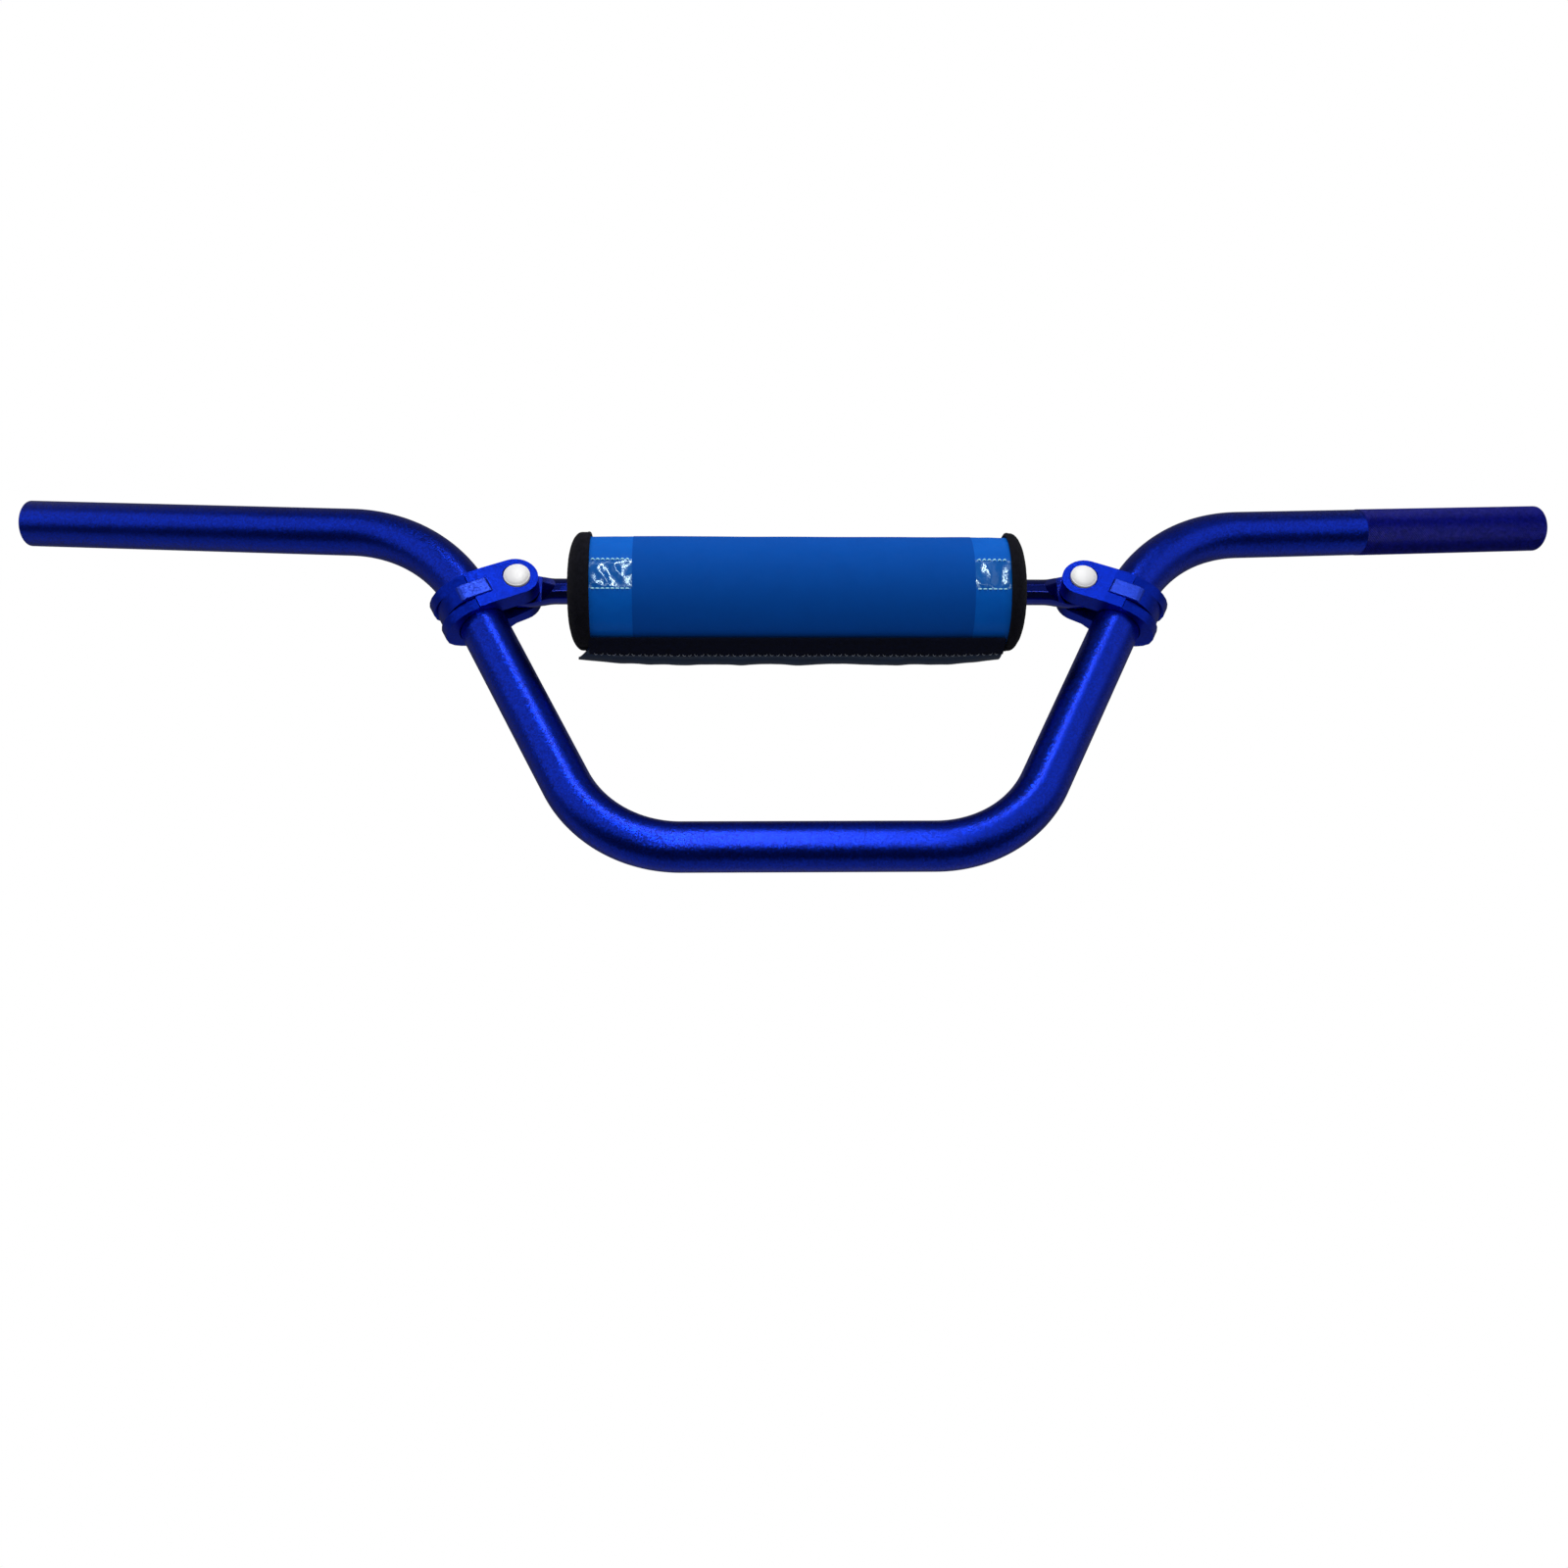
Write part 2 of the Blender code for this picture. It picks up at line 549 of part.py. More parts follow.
def pad_shell(name, profile, slit_radius, finish):
    """A C-shaped solid round the crossbar: profile (radius, x), open along the slit."""
    half_slit = SLIT_WIDTH / 2 / slit_radius
    start = SLIT_ANGLE + half_slit
    made = add_object(name, turned(profile, PAD_FACETS, start, FULL_TURN - 2 * half_slit, axis="X"), finish)
    made.location = (PAD_OFFSET, 0, CROSSBAR_HEIGHT)
    return made


def dome(edge_radius, edge_x, crown_x):
    """Points (radius, x) from the domed end's edge to its flat crown."""
    return [(r, x) for r, x in arc(CAP_CROWN_RADIUS, edge_x, edge_radius - CAP_CROWN_RADIUS, crown_x - edge_x,
                                   0, math.pi / 2, CAP_STEPS)]


def make_pad(foam_finish, cover_finish, trim_finish):
    """Foam round the crossbar, the cover round the foam, and a domed cap over each end."""
    bore = CROSSBAR_RADIUS + FIT_GAP
    cover_inner = FOAM_RADIUS + FIT_GAP
    foam_end = [(bore, PAD_HALF - CAP_THICKNESS - FIT_GAP)]
    foam_end = dome(FOAM_RADIUS, COVER_HALF, PAD_HALF - CAP_THICKNESS - FIT_GAP) + foam_end
    pad_shell("pad_foam", [(r, -x) for r, x in reversed(foam_end)] + foam_end, FOAM_RADIUS, foam_finish)
    pad_shell("pad_cover", [(cover_inner, -COVER_HALF), (COVER_RADIUS, -COVER_HALF), (COVER_RADIUS, COVER_HALF),
                            (cover_inner, COVER_HALF)], COVER_RADIUS, cover_finish)
    sleeve_inner = COVER_RADIUS + FIT_GAP
    sleeve_end = PAD_HALF - CAP_SLEEVE
    stop = COVER_HALF + FIT_GAP
    for side_name, side in SIDES.items():
        outside = dome(CAP_RADIUS, PAD_HALF - CAP_DOME, PAD_HALF)
        inside = dome(cover_inner, stop, PAD_HALF - CAP_THICKNESS)
        profile = [(CAP_RADIUS, sleeve_end)] + outside + [(bore, PAD_HALF), (bore, PAD_HALF - CAP_THICKNESS)]
        profile += inside[::-1] + [(sleeve_inner, stop), (sleeve_inner, sleeve_end)]
        pad_shell("pad_end_cap_" + side_name, [(r, side * x) for r, x in profile], CAP_RADIUS, trim_finish)


def flap_radius(angle):
    """Inner radius of the flap: on the cover at its root, then lifting away towards its free edge."""
    share = (FLAP_START_ANGLE - angle) / (FLAP_START_ANGLE - FLAP_END_ANGLE)
    return COVER_RADIUS + FIT_GAP + FLAP_LIFT * share ** FLAP_LIFT_POWER


def pad_strip(name, low_radius, thickness, start, end, finish):
    """A strip along the pad: low_radius(angle) to low_radius(angle) + thickness, between two angles."""
    angles = [start + (end - start) * i / FLAP_STEPS for i in range(FLAP_STEPS + 1)]
    inner = [(low_radius(t) * math.cos(t), low_radius(t) * math.sin(t)) for t in angles]
    outer = [((low_radius(t) + thickness) * math.cos(t), (low_radius(t) + thickness) * math.sin(t)) for t in angles]
    strip = add_object(name, prism(inner + outer[::-1], -FLAP_HALF, FLAP_HALF, lambda a, b, c: Vector((c, -a, b))),
                       finish)
    strip.location = (PAD_OFFSET, 0, CROSSBAR_HEIGHT)


def make_closure(flap_finish, trim_finish):
    """The flap that closes the slit, the tape over its root, and the hook and loop strips under its free edge."""
    pad_strip("pad_flap", flap_radius, FLAP_THICKNESS, FLAP_START_ANGLE, FLAP_END_ANGLE, flap_finish)
    pad_strip("pad_binding", lambda t: flap_radius(t) + FLAP_THICKNESS + FIT_GAP, BINDING_THICKNESS,
              FLAP_START_ANGLE, BINDING_END_ANGLE, trim_finish)
    pad_strip("pad_hook_strip", lambda t: flap_radius(t) - FIT_GAP - STRIP_THICKNESS, STRIP_THICKNESS,
              STRIP_START_ANGLE, STRIP_END_ANGLE, trim_finish)
    pad_strip("pad_loop_strip", lambda t: COVER_RADIUS + FIT_GAP, STRIP_THICKNESS,
              STRIP_START_ANGLE, STRIP_END_ANGLE, trim_finish)


def build():
    clear_scene()
    anodised = material("blue_anodised", (0.01, 0.09, 0.42), 0.4, 0.9)
    clamp_blue = material("clamp_blue", (0.01, 0.1, 0.48), 0.35, 0.9)
    zinc = material("bright_zinc", (0.85, 0.86, 0.88), 0.25, 1.0)
    foam = material("grey_foam", (0.12, 0.12, 0.13), 0.95, 0.0)
    vinyl = material("blue_vinyl", (0.01, 0.12, 0.45), 0.35, 0.0)
    dark_vinyl = material("dark_vinyl", (0.02, 0.04, 0.1), 0.3, 0.0)
    black = material("black_webbing", (0.01, 0.01, 0.012), 0.8, 0.0)
    add_object("handlebar_tube", make_tube, anodised)
    make_crossbar(anodised)
    for side_name in SIDES:
        make_clamp(side_name, clamp_blue)
        make_bolt(side_name, zinc)
        make_washer(side_name, zinc)
        make_nut(side_name, zinc)
    make_pad(foam, vinyl, black)
    make_closure(dark_vinyl, black)
    shade_cut_edges()


build()
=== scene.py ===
# %% [markdown]
# A motocross handlebar is one bent alloy tube. A thin crossbar is clamped between its legs, and a round foam
# pad sits on the crossbar to save the rider's chest. The working shapes were made before this lesson starts:
# they are loaded here as a fixed frame. What is left is the part that the eye judges: fine rounding,
# knurling, cloth, thread and the finish of every surface.

# %% Load the frame and note its size
import math

import bmesh
import bpy
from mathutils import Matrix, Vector, noise


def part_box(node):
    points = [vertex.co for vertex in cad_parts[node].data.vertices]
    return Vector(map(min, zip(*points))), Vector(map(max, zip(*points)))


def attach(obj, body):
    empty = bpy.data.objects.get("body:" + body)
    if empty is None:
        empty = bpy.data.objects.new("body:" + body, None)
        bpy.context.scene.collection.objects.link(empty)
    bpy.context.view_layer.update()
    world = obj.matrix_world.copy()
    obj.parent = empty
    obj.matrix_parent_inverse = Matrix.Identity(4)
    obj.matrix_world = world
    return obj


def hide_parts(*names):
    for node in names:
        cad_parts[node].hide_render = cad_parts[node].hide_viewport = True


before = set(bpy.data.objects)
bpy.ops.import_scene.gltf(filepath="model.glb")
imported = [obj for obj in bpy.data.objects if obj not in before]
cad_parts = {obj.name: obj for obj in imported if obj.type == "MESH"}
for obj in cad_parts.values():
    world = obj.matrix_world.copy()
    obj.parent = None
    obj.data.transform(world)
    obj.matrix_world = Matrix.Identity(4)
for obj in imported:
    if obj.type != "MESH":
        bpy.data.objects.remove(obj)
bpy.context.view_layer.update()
MM = 0.001
SIDES = {"left": 1, "right": -1}

# %% [markdown]
# The photograph was taken from in front of the bar and from below its grips, less than a metre away. A camera
# could be placed by eye. Here its place was worked out from the bar's outline instead, because a tube of
# known thickness fixes both the distance and the tilt.

# %% Camera
CAMERA_PLACE = Vector((-0.04246, -0.71415, -0.36625))
CAMERA_TURN = (119.064, 1.214, -1.927)
LENS = 42.75
SENSOR = 36.0

lens_data = bpy.data.cameras.new("photo_camera")
lens_data.lens = LENS
lens_data.sensor_width = SENSOR
camera = bpy.data.objects.new("photo_camera", lens_data)
camera.location = CAMERA_PLACE
camera.rotation_euler = [math.radians(angle) for angle in CAMERA_TURN]
bpy.context.collection.objects.link(camera)
bpy.context.scene.camera = camera
print("camera to origin: %.3f m" % CAMERA_PLACE.length)

# %% [markdown]
# The background is plain white. More light would make it white, but the light would also bleach the bar. So
# the world is white only where the camera, a reflection or a see-through surface looks at it, and it lights
# the bar at a lower, even level. Light Path tells those rays apart.

# %% World
AMBIENT = 0.33
WHITE = (1, 1, 1, 1)

bpy.context.scene.view_settings.view_transform = "Standard"
world = bpy.data.worlds.new("white_room")
bpy.context.scene.world = world
world.use_nodes = True
sky = world.node_tree.nodes
sky.clear()
path = sky.new("ShaderNodeLightPath")
lit = sky.new("ShaderNodeBackground")
lit.inputs["Color"].default_value = WHITE
lit.inputs["Strength"].default_value = AMBIENT
shown = sky.new("ShaderNodeBackground")
shown.inputs["Color"].default_value = WHITE
shown.inputs["Strength"].default_value = 1.0
seen = path.outputs["Is Camera Ray"]
for ray in ("Is Glossy Ray", "Is Transmission Ray"):
    either = sky.new("ShaderNodeMath")
    either.operation = "MAXIMUM"
    world.node_tree.links.new(seen, either.inputs[0])
    world.node_tree.links.new(path.outputs[ray], either.inputs[1])
    seen = either.outputs[0]
choice = sky.new("ShaderNodeMixShader")
world_out = sky.new("ShaderNodeOutputWorld")
world.node_tree.links.new(seen, choice.inputs[0])
world.node_tree.links.new(lit.outputs[0], choice.inputs[1])
world.node_tree.links.new(shown.outputs[0], choice.inputs[2])
world.node_tree.links.new(choice.outputs[0], world_out.inputs[0])
print("ambient level:", AMBIENT)

# %% [markdown]
# Two soft lamps light the bar: a tall strip straight in front, and a wide one overhead. The strip is what the
# tube mirrors as its bright stripe. The overhead lamp is for cloth and vinyl, whose tops it lifts, and metal
# doesn't mirror it.

# %% Lamps
LAMP_DISTANCE = 1.7
LAMPS = {
    "strip": {"elevation": 12, "turn": 0, "wide": 0.05, "tall": 2.1, "power": 10.5, "mirrored": True},
    "overhead": {"elevation": 62, "turn": 0, "wide": 1.6, "tall": 1.6, "power": 17.0, "mirrored": False},
}


def direction(elevation, turn):
    """A unit vector from two angles in degrees. turn goes round from the front, towards +X."""
    up, aside = math.radians(elevation), math.radians(turn)
    return Vector((math.sin(aside) * math.cos(up), -math.cos(aside) * math.cos(up), math.sin(up)))


def lamp(name, elevation, turn, wide, tall, power, mirrored):
    """A soft rectangle aimed at the bar."""
    light = bpy.data.lights.new(name, "AREA")
    light.shape = "RECTANGLE"
    light.size = wide
    light.size_y = tall
    light.energy = power
    made = bpy.data.objects.new(name, light)
    away = direction(elevation, turn)
    made.location = away * LAMP_DISTANCE
    made.rotation_euler = away.to_track_quat("Z", "Y").to_euler()
    made.visible_glossy = mirrored
    bpy.context.collection.objects.link(made)


for name, values in LAMPS.items():
    lamp(name, **values)
print("lamps:", list(LAMPS))

# %% [markdown]
# Every surface, of the bar or of the studio round it, starts from the same shader. One helper makes such a
# material, and three small ones add nodes to it. The nodes work on places measured in metres on the object,
# so that a 1 mm grain is 1 mm on every piece.

# %% Material helpers


def finish(name, colour, roughness, metallic=0.0, **sockets):
    """A material with one Principled shader. sockets are its other inputs, with _ for a space."""
    made = bpy.data.materials.new(name)
    made.use_nodes = True
    shader = made.node_tree.nodes["Principled BSDF"]
    values = {"Base Color": (*colour, 1), "Roughness": roughness, "Metallic": metallic}
    values.update({key.replace("_", " "): value for key, value in sockets.items()})
    for key, value in values.items():
        shader.inputs[key].default_value = value
    return made


def add_node(made, kind, **inputs):
    """A node whose inputs are set, or linked where the value is another node's output."""
    node = made.node_tree.nodes.new("ShaderNode" + kind)
    for key, value in inputs.items():
        socket = node.inputs[key.replace("_", " ")]
        if isinstance(value, bpy.types.NodeSocket):
            made.node_tree.links.new(value, socket)
        else:
            socket.default_value = value
    return node


def place_on(made):
    """The point on the object, in metres."""
    return add_node(made, "TexCoord").outputs["Object"]


def feed(made, socket, output):
    """Links a node's output to an input of the shader."""
    shader = made.node_tree.nodes["Principled BSDF"]
    made.node_tree.links.new(output, shader.inputs[socket])


print("material helpers: finish, add_node, place_on and feed")

# %% [markdown]
# A curved surface in Blender is a net of points with faces between them. Almost every shape here is a row of
# rings, so one helper links rings with faces. A second one spaces numbers evenly, and a third one stands a
# mesh in the studio.

# %% Net helpers


def spaced(start, end, step):
    """Numbers from start to end in equal steps, as near to the given step as comes out even."""
    count = max(1, round(abs(end - start) / step))
    return [start + (end - start) * i / count for i in range(count + 1)]


def link_rings(rings, around=True, along=False):
    """Points and faces of a skin. around closes each ring, along joins the last ring to the first."""
    rows, count = len(rings), len(rings[0])
    points = [point for ring in rings for point in ring]
    faces = []
    for i in range(rows if along else rows - 1):
        below, above = i * count, ((i + 1) % rows) * count
        for j in range(count if around else count - 1):
            k = (j + 1) % count
            faces.append((below + j, below + k, above + k, above + j))
    return points, faces


def stage_mesh(name, points, faces, paint):
    """A part of the studio, which is not part of the bar."""
    mesh = bpy.data.meshes.new(name)
    mesh.from_pydata(points, [], faces)
    mesh.materials.append(paint)
    made = bpy.data.objects.new(name, mesh)
    bpy.context.collection.objects.link(made)
    return made


print("from 0 to 1 in steps near 0.3:", [round(value, 2) for value in spaced(0, 1, 0.3)])
print("faces between two rings of three points:", link_rings([[0, 1, 2], [3, 4, 5]])[1])

# %% [markdown]
# Shiny metal shows the room more than it shows itself. In a room that is white all round a tube looks flat,
# and the photograph has one bright stripe between dark ones. A product photographer hangs grey cards round
# the object and leaves slots between them. Here each card is a patch of a sphere, given by two turns and two
# elevations. Two thin bright bars in front of the cards draw the fine pale lines on the polished crossbar.
# Only reflections see the cards, so they take no light from the bar.

# %% Cards for the reflections
CARD_DISTANCE = 2.6
BAR_DISTANCE = 2.5
CARD_STEP = 8
CARD_TINT = (0.93, 0.95, 1, 1)
BLACK = (0, 0, 0)
# First and last turn, lowest and highest elevation, all in degrees, and how bright the card is.
CARDS = {
    "side_near": (5, 20, -24, 34, 0.12),
    "side_front": (20, 68, -15, 34, 0.62),
    "side_front_top": (5, 68, 34, 60, 0.12),
    "side_middle": (70, 126, -15, 60, 0.2),
    "rear_low": (126, 180, -15, 25, 0.1),
    "rear_high": (126, 180, 25, 60, 0.12),
    "below_strip": (0, 16, -90, -24, 0.03),
    "below_front": (16, 90, -90, -15, 0.04),
    "below_rear": (90, 180, -90, -15, 0.28),
    "above": (0, 180, 60, 90, 0.12),
}
BARS = {"bar_high": (4, 22, 38, 41, 3.0), "bar_low": (4, 22, -25, -22, 3.0)}


def card(name, first_turn, last_turn, low, high, shade, distance):
    """A glowing patch of a sphere round the bar."""
    rings = [[direction(elevation, turn) * distance for turn in spaced(first_turn, last_turn, CARD_STEP)]
             for elevation in spaced(low, high, CARD_STEP)]
    points, faces = link_rings(rings, around=False)
    paint = finish(name, BLACK, 0.5, Specular_IOR_Level=0, Emission_Color=CARD_TINT, Emission_Strength=shade)
    made = stage_mesh(name, points, faces, paint)
    made.visible_camera = made.visible_diffuse = made.visible_shadow = False


for patches, distance in ((CARDS, CARD_DISTANCE), (BARS, BAR_DISTANCE)):
    for name, (first_turn, last_turn, low, high, shade) in patches.items():
        card(name + "_left", first_turn, last_turn, low, high, shade, distance)
        card(name + "_right", -first_turn, -last_turn, low, high, shade, distance)
print("cards:", 2 * len(CARDS), "bars:", 2 * len(BARS))

# %% [markdown]
# The floor is only for views from above, because the photographer looks up at the bar. It is a wide pale
# disc, and its own glow grows with the distance, so that it runs into the white backdrop with no edge. It
# stays out of the reflections, where the cards that hang below the bar take its place.

# %% Floor
FLOOR_HEIGHT = -1.3
FLOOR_RADIUS = 80
FLOOR_CORNERS = 96
FLOOR_GREY = (0.25, 0.25, 0.25)
GLOW_NEAR, GLOW_FAR = 0.78, 0.93
FADE_NEAR, FADE_FAR = 2, 12


def turn_angles(count):
    """The angles of one full turn in equal steps, in radians."""
    return [2 * math.pi * i / count for i in range(count)]


floor_paint = finish("floor_paint", FLOOR_GREY, 0.9, Specular_IOR_Level=0, Emission_Color=WHITE)
from_middle = add_node(floor_paint, "VectorMath", Vector=place_on(floor_paint))
from_middle.operation = "LENGTH"
glow = add_node(floor_paint, "MapRange", Value=from_middle.outputs["Value"], From_Min=FADE_NEAR,
                From_Max=FADE_FAR, To_Min=GLOW_NEAR, To_Max=GLOW_FAR)
feed(floor_paint, "Emission Strength", glow.outputs[0])
rim = [(FLOOR_RADIUS * math.cos(a), FLOOR_RADIUS * math.sin(a), 0) for a in turn_angles(FLOOR_CORNERS)]
floor = stage_mesh("floor", rim, [tuple(range(FLOOR_CORNERS))], floor_paint)
floor.location.z = FLOOR_HEIGHT
floor.visible_glossy = floor.visible_diffuse = False
print("floor %.1f m below the base" % -FLOOR_HEIGHT)

# %% [markdown]
# A finish that is the same all over looks painted. Real metal, vinyl and cloth vary a little from place to
# place. An image could carry that, but then it would have to be wrapped round every piece. Noise and cell
# patterns need no wrapping, because they fill space, so they drive the colours, roughness and tilts here.

# %% Pattern helpers
NOISE_LOW, NOISE_HIGH = 0.3, 0.7


def grain(made, size, detail=2.0):
    """Noise with features of the given size in metres."""
    speckle = add_node(made, "TexNoise", Vector=place_on(made), Scale=1 / size, Detail=detail, Roughness=0.6)
    return speckle.outputs[0]


def between(made, factor, low, high):
    """Spreads a noise, which stays mostly from NOISE_LOW to NOISE_HIGH, between two values."""
    spread = add_node(made, "MapRange", Value=factor, From_Min=NOISE_LOW, From_Max=NOISE_HIGH, To_Min=low,
                      To_Max=high)
    return spread.outputs[0]


def two_colours(made, factor, low, high):
    """Mixes two colours. A Mix node has its colours in inputs 6 and 7 and gives theirs as output 2."""
    mix = made.node_tree.nodes.new("ShaderNodeMix")
    mix.data_type = "RGBA"
    made.node_tree.links.new(factor, mix.inputs[0])
    mix.inputs[6].default_value = (*low, 1)
    mix.inputs[7].default_value = (*high, 1)
    return mix.outputs[2]


def cell_pattern(made, size):
    """A Voronoi pattern whose cells have the given size in metres."""
    return add_node(made, "TexVoronoi", Vector=place_on(made), Scale=1 / size)


def vector_node(made, operation, first, second=None, scale=None):
    """One step of vector arithmetic. second is another node's output or a fixed vector."""
    node = made.node_tree.nodes.new("ShaderNodeVectorMath")
    node.operation = operation
    made.node_tree.links.new(first, node.inputs[0])
    if isinstance(second, bpy.types.NodeSocket):
        made.node_tree.links.new(second, node.inputs[1])
    elif second is not None:
        node.inputs[1].default_value = second
    if scale is not None:
        node.inputs["Scale"].default_value = scale
    return node.outputs[0]


print("noise is spread from %.1f to %.1f" % (NOISE_LOW, NOISE_HIGH))

# %% [markdown]
# The tube is blasted with fine beads and then dyed and sealed, which is called anodising. The dye sits in a
# clear skin on bare alloy, so the colour is a metal's and a thin clear coat lies over it. The beads leave a
# satin grain that sparkles. Grain could be modelled, but its pits are a few hundredths of a millimetre deep.
# So each little cell of a Voronoi pattern gets a tilt and a shade of its own, as a dent in the metal would.

# %% Anodised finishes
CLEAR_SKIN_IOR = 1.5
PATCH_SIZE = 14 * MM
PATCH_SHINIER, PATCH_DULLER = 0.03, 0.04
MIDDLE_CHANCE = (0.5, 0.5, 0.5)


def anodised(name, low, high, roughness, dent, tilt, coat=0.2, coat_roughness=0.3):
    """dent is the size of the blasted dents in metres, and tilt how far they turn the surface."""
    made = finish(name, low, roughness, metallic=1.0, Coat_Weight=coat, Coat_Roughness=coat_roughness,
                  Coat_IOR=CLEAR_SKIN_IOR)
    chance = cell_pattern(made, dent).outputs["Color"]
    shade = add_node(made, "SeparateXYZ", Vector=chance).outputs[0]
    feed(made, "Base Color", two_colours(made, shade, low, high))
    patches = grain(made, PATCH_SIZE)
    feed(made, "Roughness", between(made, patches, roughness - PATCH_SHINIER, roughness + PATCH_DULLER))
    lean = vector_node(made, "SUBTRACT", chance, MIDDLE_CHANCE)
    upright = add_node(made, "NewGeometry").outputs["Normal"]
    turned = vector_node(made, "ADD", upright, vector_node(made, "SCALE", lean, scale=tilt))
    feed(made, "Normal", vector_node(made, "NORMALIZE", turned))
    return made


knurl_finish = anodised("knurled_blue", (0.003, 0.006, 0.22), (0.008, 0.014, 0.42), roughness=0.65,
                        dent=1.2 * MM, tilt=0.3)
tube_finish = anodised("blasted_blue", (0.0008, 0.018, 0.4), (0.002, 0.038, 0.74), roughness=0.32,
                       dent=0.6 * MM, tilt=0.16)
clamp_finish = anodised("satin_blue", (0.0009, 0.017, 0.39), (0.0018, 0.027, 0.54), roughness=0.38,
                        dent=0.9 * MM, tilt=0.06, coat=0.05)
# The flat's finish is a paler, brighter copy of the clamp's blue: part of the flat's brightness is a painted
# highlight.
highlit_flat_finish = anodised("facet_blue_painted_highlight", (0.014, 0.055, 0.62), (0.03, 0.09, 0.85), roughness=0.4,
                        dent=0.8 * MM, tilt=0.12)
rod_finish = anodised("polished_blue", (0.002, 0.014, 0.3), (0.003, 0.02, 0.38), roughness=0.14,
                      dent=2 * MM, tilt=0.02, coat=0.6, coat_roughness=0.06)
print("finishes:", tube_finish.name, clamp_finish.name, rod_finish.name)

# %% [markdown]
# The shapes below are skins between rings of points, as the cards were. One helper closes such a skin at its
# two ends, and others turn points and faces into an object that rides on the bar, smooth except where two
# faces meet at a real edge.

# %% Mesh helpers
ROUNDING_STEPS = 3


def closed_rings(rings):
    """Points and faces of a skin with a flat face over its first and its last ring."""
    points, faces = link_rings(rings)
    count = len(rings[0])
    faces += [tuple(range(count))[::-1], tuple(range(len(points) - count, len(points)))]
    return points, faces


def put_on_bar(name, mesh, stands_for=(), sharp=30):
    """An object that rides on the bar, with an edge where faces turn by more than sharp degrees."""
    mesh.shade_smooth()
    mesh.set_sharp_from_angle(angle=math.radians(sharp))
    made = bpy.data.objects.new(name, mesh)
    bpy.context.collection.objects.link(made)
    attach(made, "root")
    if stands_for:
        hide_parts(*stands_for)
    print("%s: %d faces" % (name, len(mesh.polygons)))
    return made


def add_piece(name, points, faces, finishes, stands_for=(), sharp=30, finish_of=None):
    """A piece made from points and faces. finish_of lists a finish number for each face."""
    mesh = bpy.data.meshes.new(name)
    mesh.from_pydata([tuple(p) for p in points], [], faces)
    for one in finishes:
        mesh.materials.append(one)
    if finish_of:
        mesh.polygons.foreach_set("material_index", finish_of)
    bm = bmesh.new()
    bm.from_mesh(mesh)
    bmesh.ops.recalc_face_normals(bm, faces=bm.faces)
    bm.to_mesh(mesh)
    bm.free()
    return put_on_bar(name, mesh, stands_for, sharp)


def round_edges(made, edge, above=30):
    """Rounds the edges that turn by more than the given degrees."""
    rounding = made.modifiers.new("rounding", "BEVEL")
    rounding.width = edge
    rounding.segments = ROUNDING_STEPS
    rounding.limit_method = "ANGLE"
    rounding.angle_limit = math.radians(above)
    made.modifiers.new("shading", "WEIGHTED_NORMAL").keep_sharp = True


print("faces of two closed rings of three points:", closed_rings([[0, 1, 2], [3, 4, 5]])[1])

# %% [markdown]
# The tube is bent cold round formers, so its centre line is straight runs and true arcs: base, bend, leg,
# bend, grip. A curve object with a round bevel would follow that line, but the knurl on the clutch-side grip
# needs points of its own. So rings of points are placed along the line in a loop.

# %% The tube's centre line
TUBE_RADIUS = 11.1 * MM
TUBE_WALL = 2.6 * MM
BASE_LENGTH = 110 * MM
LOWER_BEND_RADIUS = 56 * MM
LEG_ANGLE = math.radians(63.8)
LEG_LENGTH = 108 * MM
UPPER_BEND_RADIUS = 80 * MM
GRIP_RISE = math.radians(9)
GRIP_SWEEP = math.radians(10)
GRIP_LENGTH = 168.5 * MM
BEND_STEPS = 40


def arc_of_tube(start, before, after, radius):
    """(point, direction) along a bend, without its first point."""
    side = (after - before * after.dot(before)).normalized()
    angle = before.angle(after)
    line = []
    for step in range(1, BEND_STEPS + 1):
        turn = angle * step / BEND_STEPS
        point = start + side * radius * (1 - math.cos(turn)) + before * radius * math.sin(turn)
        line.append((point, before * math.cos(turn) + side * math.sin(turn)))
    return line


leg_way = Vector((math.cos(LEG_ANGLE), 0, math.sin(LEG_ANGLE)))
grip_way = Vector((math.cos(GRIP_RISE) * math.cos(GRIP_SWEEP), math.cos(GRIP_RISE) * math.sin(GRIP_SWEEP),
                   math.sin(GRIP_RISE)))
half_line = [(Vector((BASE_LENGTH / 2, 0, 0)), Vector((1, 0, 0)))]
half_line += arc_of_tube(*half_line[-1], leg_way, LOWER_BEND_RADIUS)
leg_start = half_line[-1][0]
half_line.append((leg_start + leg_way * LEG_LENGTH, leg_way))
half_line += arc_of_tube(*half_line[-1], grip_way, UPPER_BEND_RADIUS)
grip_tip = half_line[-1][0] + grip_way * GRIP_LENGTH
frame_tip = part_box("handlebar_tube")[1]
print("half span to the tip: %.1f mm, frame: %.1f mm" % (grip_tip.x / MM, frame_tip.x / MM))

# %% [markdown]
# Rings are needed only where something changes: at the two rounded lips, at each step of a bend, and close
# together along the knurl. A straight run needs no ring between its ends.

# %% Places of the tube's rings
KNURL_LENGTH = 103 * MM
KNURL_PITCH = 0.62 * MM
END_ROUND = 0.9 * MM
ROUND_STEPS = 5


def rounded_lip(tip, way, inward):
    """Rings of the tube's rounded end, from its wall to its end face."""
    lip = []
    for step in range(ROUND_STEPS + 1):
        angle = math.pi / 2 * step / ROUND_STEPS
        lip.append((tip + inward * END_ROUND * (1 - math.sin(angle)), way,
                    TUBE_RADIUS - END_ROUND * (1 - math.cos(angle)), False))
    return lip


